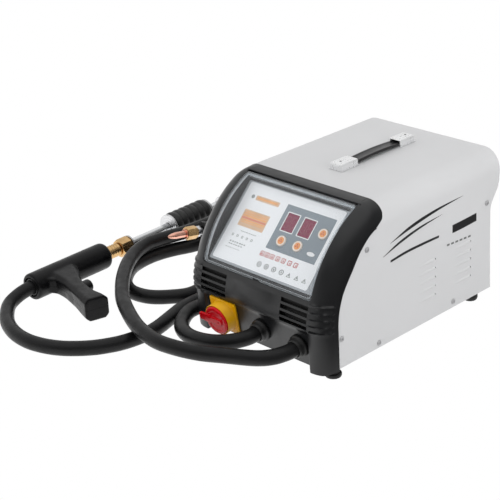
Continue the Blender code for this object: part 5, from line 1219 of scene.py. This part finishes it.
for s, word in ((-1, "left"), (1, "right")):
    side_strip(f"stripe_long_{word}", [(0.1120, FOOT + 0.1610), (0.1560, FOOT + 0.1735), (0.2080, FOOT + 0.1825), (0.2640, FOOT + 0.1870)], [0.0006, 0.0046, 0.0038, 0.0002], INK_BLACK, s)
    side_strip(f"stripe_top_{word}", [(0.1300, FOOT + 0.1790), (0.1840, FOOT + 0.1915), (0.2480, FOOT + 0.1995), (0.3200, FOOT + 0.2030)], [0.0004, 0.0058, 0.0046, 0.0002], INK_BLACK, s)
    side_strip(f"stripe_low_{word}", [(0.1303, FOOT + 0.1471), (0.1689, FOOT + 0.1502), (0.2100, FOOT + 0.1504), (0.2555, FOOT + 0.1494)], [0.0040, 0.0046, 0.0046, 0.0040], INK_BLACK, s)
    side_strip(f"bar_main_{word}", [(0.2920, FOOT + 0.1503), (0.3241, FOOT + 0.1505), (0.3581, FOOT + 0.1516)], [0.0150, 0.0150, 0.0150], INK_BLACK, s)
    for k in range(6):
        a, b = (0.2772 + (0.0698) * (k + j) / 6 for j in (0.0, 0.62))
        c, d = (FOOT + 0.1253 + (-0.0044) * (k + j) / 6 for j in (0.0, 0.62))
        side_strip(f"dash_{word}_{k + 1}", [(a, c), ((a + b) / 2, (c + d) / 2), (b, d)], [0.0034] * 3, INK_MARK, s)

# ------------------------------------------------------------------ back of the cabinet: wire guard over the fan
FAN = (0.045, 0.3955, FOOT + 0.088)
guard_y = 0.4026


def torus(name, major, minor, matrix, mats, body="root", n=72, m=10):
    prof = [(major + minor * math.cos(math.tau * k / m), minor * math.sin(math.tau * k / m)) for k in range(m)]
    return lathe(name, prof, mats, matrix, body, n, smooth=80, closed=True)


for k, r in enumerate((0.012, 0.021, 0.030, 0.0385)):
    torus(f"fan_guard_ring_{k + 1}", r, 0.0010, frame_to((FAN[0], guard_y, FAN[2]), (0, 1, 0)), ZINC)
for k in range(4):
    a = R(45 + 90 * k)
    p0 = Vector((FAN[0] + 0.010 * math.cos(a), guard_y - 0.0014, FAN[2] + 0.010 * math.sin(a)))
    p1 = Vector((FAN[0] + 0.0500 * math.cos(a), guard_y - 0.0014, FAN[2] + 0.0500 * math.sin(a)))
    sweep(f"fan_guard_arm_{k + 1}", [p0 + (p1 - p0) * t for t in (0, 0.25, 0.5, 0.75, 1)], 0.0011, ZINC, "root", 12)
    o = bpy.data.objects.new(f"fan_guard_screw_{k + 1}", bpy.data.objects["pan_screw_right_low_front"].data)
    bpy.context.scene.collection.objects.link(o)
    o.matrix_world = Matrix.Translation(OFF) @ frame_to((p1.x, 0.4003, p1.z), (0, 1, 0)) @ Matrix.Rotation(R(20 * k), 4, "Z")
    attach(o, "root")

# ------------------------------------------------------------------ finishes of the CAD nodes that are shown as they are
FINISH = {"base_pan": PAINT, "rear_panel": PAINT, "transformer_core": IRON, "primary_coil": VARNISH, "secondary_bar_gun": COPPER, "secondary_bar_earth": COPPER, "heat_sink": ALU, "thyristor_module": BLACK,
          "fan_frame": BLACK, "fan_rotor": BLACK, "control_board": BOARD, "switch_body": BLACK, "visor_hinge_pin": STEEL}
for name, mat in FINISH.items():
    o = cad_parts[name]
    o.data.materials.clear()
    o.data.materials.append(mat)
    for p in o.data.polygons:
        p.material_index = 0
for name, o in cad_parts.items():
    if not o.hide_render and name not in FINISH:
        print("shown CAD node without a finish:", name)

# ------------------------------------------------------------------ white sweep, soft light, camera
bm = bmesh.new()
bmesh.ops.create_grid(bm, x_segments=1, y_segments=1, size=6.0)
me = bpy.data.meshes.new("studio_floor")
bm.to_mesh(me)
bm.free()
floor = bpy.data.objects.new("studio_floor", me)
floor.location = (0, 0, -0.0006)
bpy.context.scene.collection.objects.link(floor)
m = bpy.data.materials.new("studio_white")
m.use_nodes = True
nt = m.node_tree
b = nt.nodes["Principled BSDF"]
b.inputs["Base Color"].default_value = (0.80, 0.80, 0.80, 1)
b.inputs["Roughness"].default_value = 0.9
b.inputs["Specular IOR Level"].default_value = 0.1
out = nt.nodes["Material Output"]
emit = nd(nt, "ShaderNodeEmission")
emit.inputs["Strength"].default_value = 1.0
path_info = nd(nt, "ShaderNodeLightPath")
# black glossy surfaces see a floor that is bright at the front left and falls off to the right
geo = nd(nt, "ShaderNodeNewGeometry")
split = nd(nt, "ShaderNodeSeparateXYZ")
nt.links.new(geo.outputs["Position"], split.inputs[0])
sheen = nd(nt, "ShaderNodeEmission")
nt.links.new(remap(nt, split.outputs["X"], OFF.x + 0.08, OFF.x + 0.30, 1.30, 0.12), sheen.inputs["Strength"])
first = nd(nt, "ShaderNodeMixShader")
nt.links.new(path_info.outputs["Is Glossy Ray"], first.inputs[0])
nt.links.new(b.outputs[0], first.inputs[1])
nt.links.new(sheen.outputs[0], first.inputs[2])
mix = nd(nt, "ShaderNodeMixShader")
nt.links.new(path_info.outputs["Is Camera Ray"], mix.inputs[0])
nt.links.new(first.outputs[0], mix.inputs[1])
nt.links.new(emit.outputs[0], mix.inputs[2])
nt.links.new(mix.outputs[0], out.inputs["Surface"])
me.materials.append(m)

world = bpy.data.worlds.new("studio")
world.use_nodes = True
bpy.context.scene.world = world
wn = world.node_tree
bg = wn.nodes["Background"]
bg.inputs["Color"].default_value = (1, 1, 1, 1)
bg.inputs["Strength"].default_value = 0.58
white = nd(wn, "ShaderNodeBackground")
white.inputs["Color"].default_value = (1, 1, 1, 1)
white.inputs["Strength"].default_value = 1.0
lp = nd(wn, "ShaderNodeLightPath")
# softboxes above and at the back left, dark towards the camera and the right, for glossy rays only
tc = nd(wn, "ShaderNodeTexCoord")


def toward(direction, a, b, level):
    dot = nd(wn, "ShaderNodeVectorMath", operation="DOT_PRODUCT")
    wn.links.new(tc.outputs["Generated"], dot.inputs[0])
    dot.inputs[1].default_value = direction
    n = nd(wn, "ShaderNodeMapRange", interpolation_type="SMOOTHSTEP")
    wn.links.new(dot.outputs["Value"], n.inputs["Value"])
    for i, v in zip(("From Min", "From Max", "To Min", "To Max"), (a, b, 0.0, level)):
        n.inputs[i].default_value = v
    return n.outputs["Result"]


def larger(a, b):
    n = nd(wn, "ShaderNodeMath", operation="MAXIMUM")
    for sock, v in zip(n.inputs, (a, b)):
        if isinstance(v, (int, float)):
            sock.default_value = v
        else:
            wn.links.new(v, sock)
    return n.outputs[0]


back_left = Vector((-0.72, 0.62, 0.32)).normalized()
front_left = Vector((-0.80, -0.52, 0.30)).normalized()
shine = larger(larger(toward(back_left, 0.30, 0.85, 1.10), toward(front_left, 0.66, 0.95, 1.00)), larger(toward(Vector((0, 0, 1)), 0.50, 0.92, 1.30), 0.28))
glossy = nd(wn, "ShaderNodeBackground")
wn.links.new(shine, glossy.inputs["Strength"])
gm = nd(wn, "ShaderNodeMixShader")
wn.links.new(lp.outputs["Is Glossy Ray"], gm.inputs[0])
wn.links.new(bg.outputs[0], gm.inputs[1])
wn.links.new(glossy.outputs[0], gm.inputs[2])
mx = nd(wn, "ShaderNodeMixShader")
wn.links.new(lp.outputs["Is Camera Ray"], mx.inputs[0])
wn.links.new(gm.outputs[0], mx.inputs[1])
wn.links.new(white.outputs[0], mx.inputs[2])
wn.links.new(mx.outputs[0], wn.nodes["World Output"].inputs["Surface"])


def area(name, loc, target, size, power, color=(1, 1, 1), size_y=None, shine=True):
    d = bpy.data.lights.new(name, "AREA")
    d.energy, d.size, d.color = power, size, color
    if size_y:
        d.shape, d.size_y = "RECTANGLE", size_y
    o = bpy.data.objects.new(name, d)
    o.location = loc
    o.rotation_mode = "QUATERNION"
    o.rotation_quaternion = (Vector(target) - Vector(loc)).to_track_quat("-Z", "Y")
    bpy.context.scene.collection.objects.link(o)
    o.visible_camera = False
    o.visible_glossy = shine
    return o


mid = OFF + Vector((-0.10, 0.10, 0.10))
area("top_softbox", OFF + Vector((0.1, 0.3, 1.9)), mid, 1.8, 8.5, shine=False)
area("left_softbox", OFF + Vector((-1.7, -0.9, 1.1)), mid, 1.2, 10, shine=False)
area("right_softbox", OFF + Vector((1.9, 0.3, 0.9)), mid, 1.3, 13.5, shine=False)
area("front_fill", OFF + Vector((0.7, -1.9, 0.7)), mid, 1.0, 5, shine=False)

cam_data = bpy.data.cameras.new("camera")
cam_data.lens = 103.216
cam_data.sensor_width = 36
cam_data.clip_start, cam_data.clip_end = 0.05, 50
cam = bpy.data.objects.new("camera", cam_data)
az, pitch, roll = 0.815, 0.4182, -0.0527
fw = Vector((-math.sin(az) * math.cos(pitch), math.cos(az) * math.cos(pitch), -math.sin(pitch)))
rt = Vector((math.cos(az), math.sin(az), 0))
up = rt.cross(fw)
r2 = rt * math.cos(roll) + up * math.sin(roll)
u2 = up * math.cos(roll) - rt * math.sin(roll)
c = OFF + Vector((1.547, -1.4895, 1.1372))
cam.matrix_world = Matrix(((r2.x, u2.x, -fw.x, c.x), (r2.y, u2.y, -fw.y, c.y), (r2.z, u2.z, -fw.z, c.z), (0, 0, 0, 1)))
bpy.context.scene.collection.objects.link(cam)
bpy.context.scene.camera = cam
bpy.context.scene.view_settings.view_transform = "Standard"
bpy.context.scene.view_settings.look = "None"
bpy.context.scene.view_settings.exposure = 0.0
bpy.context.scene.cycles.max_bounces = 8
bpy.context.scene.cycles.transparent_max_bounces = 12
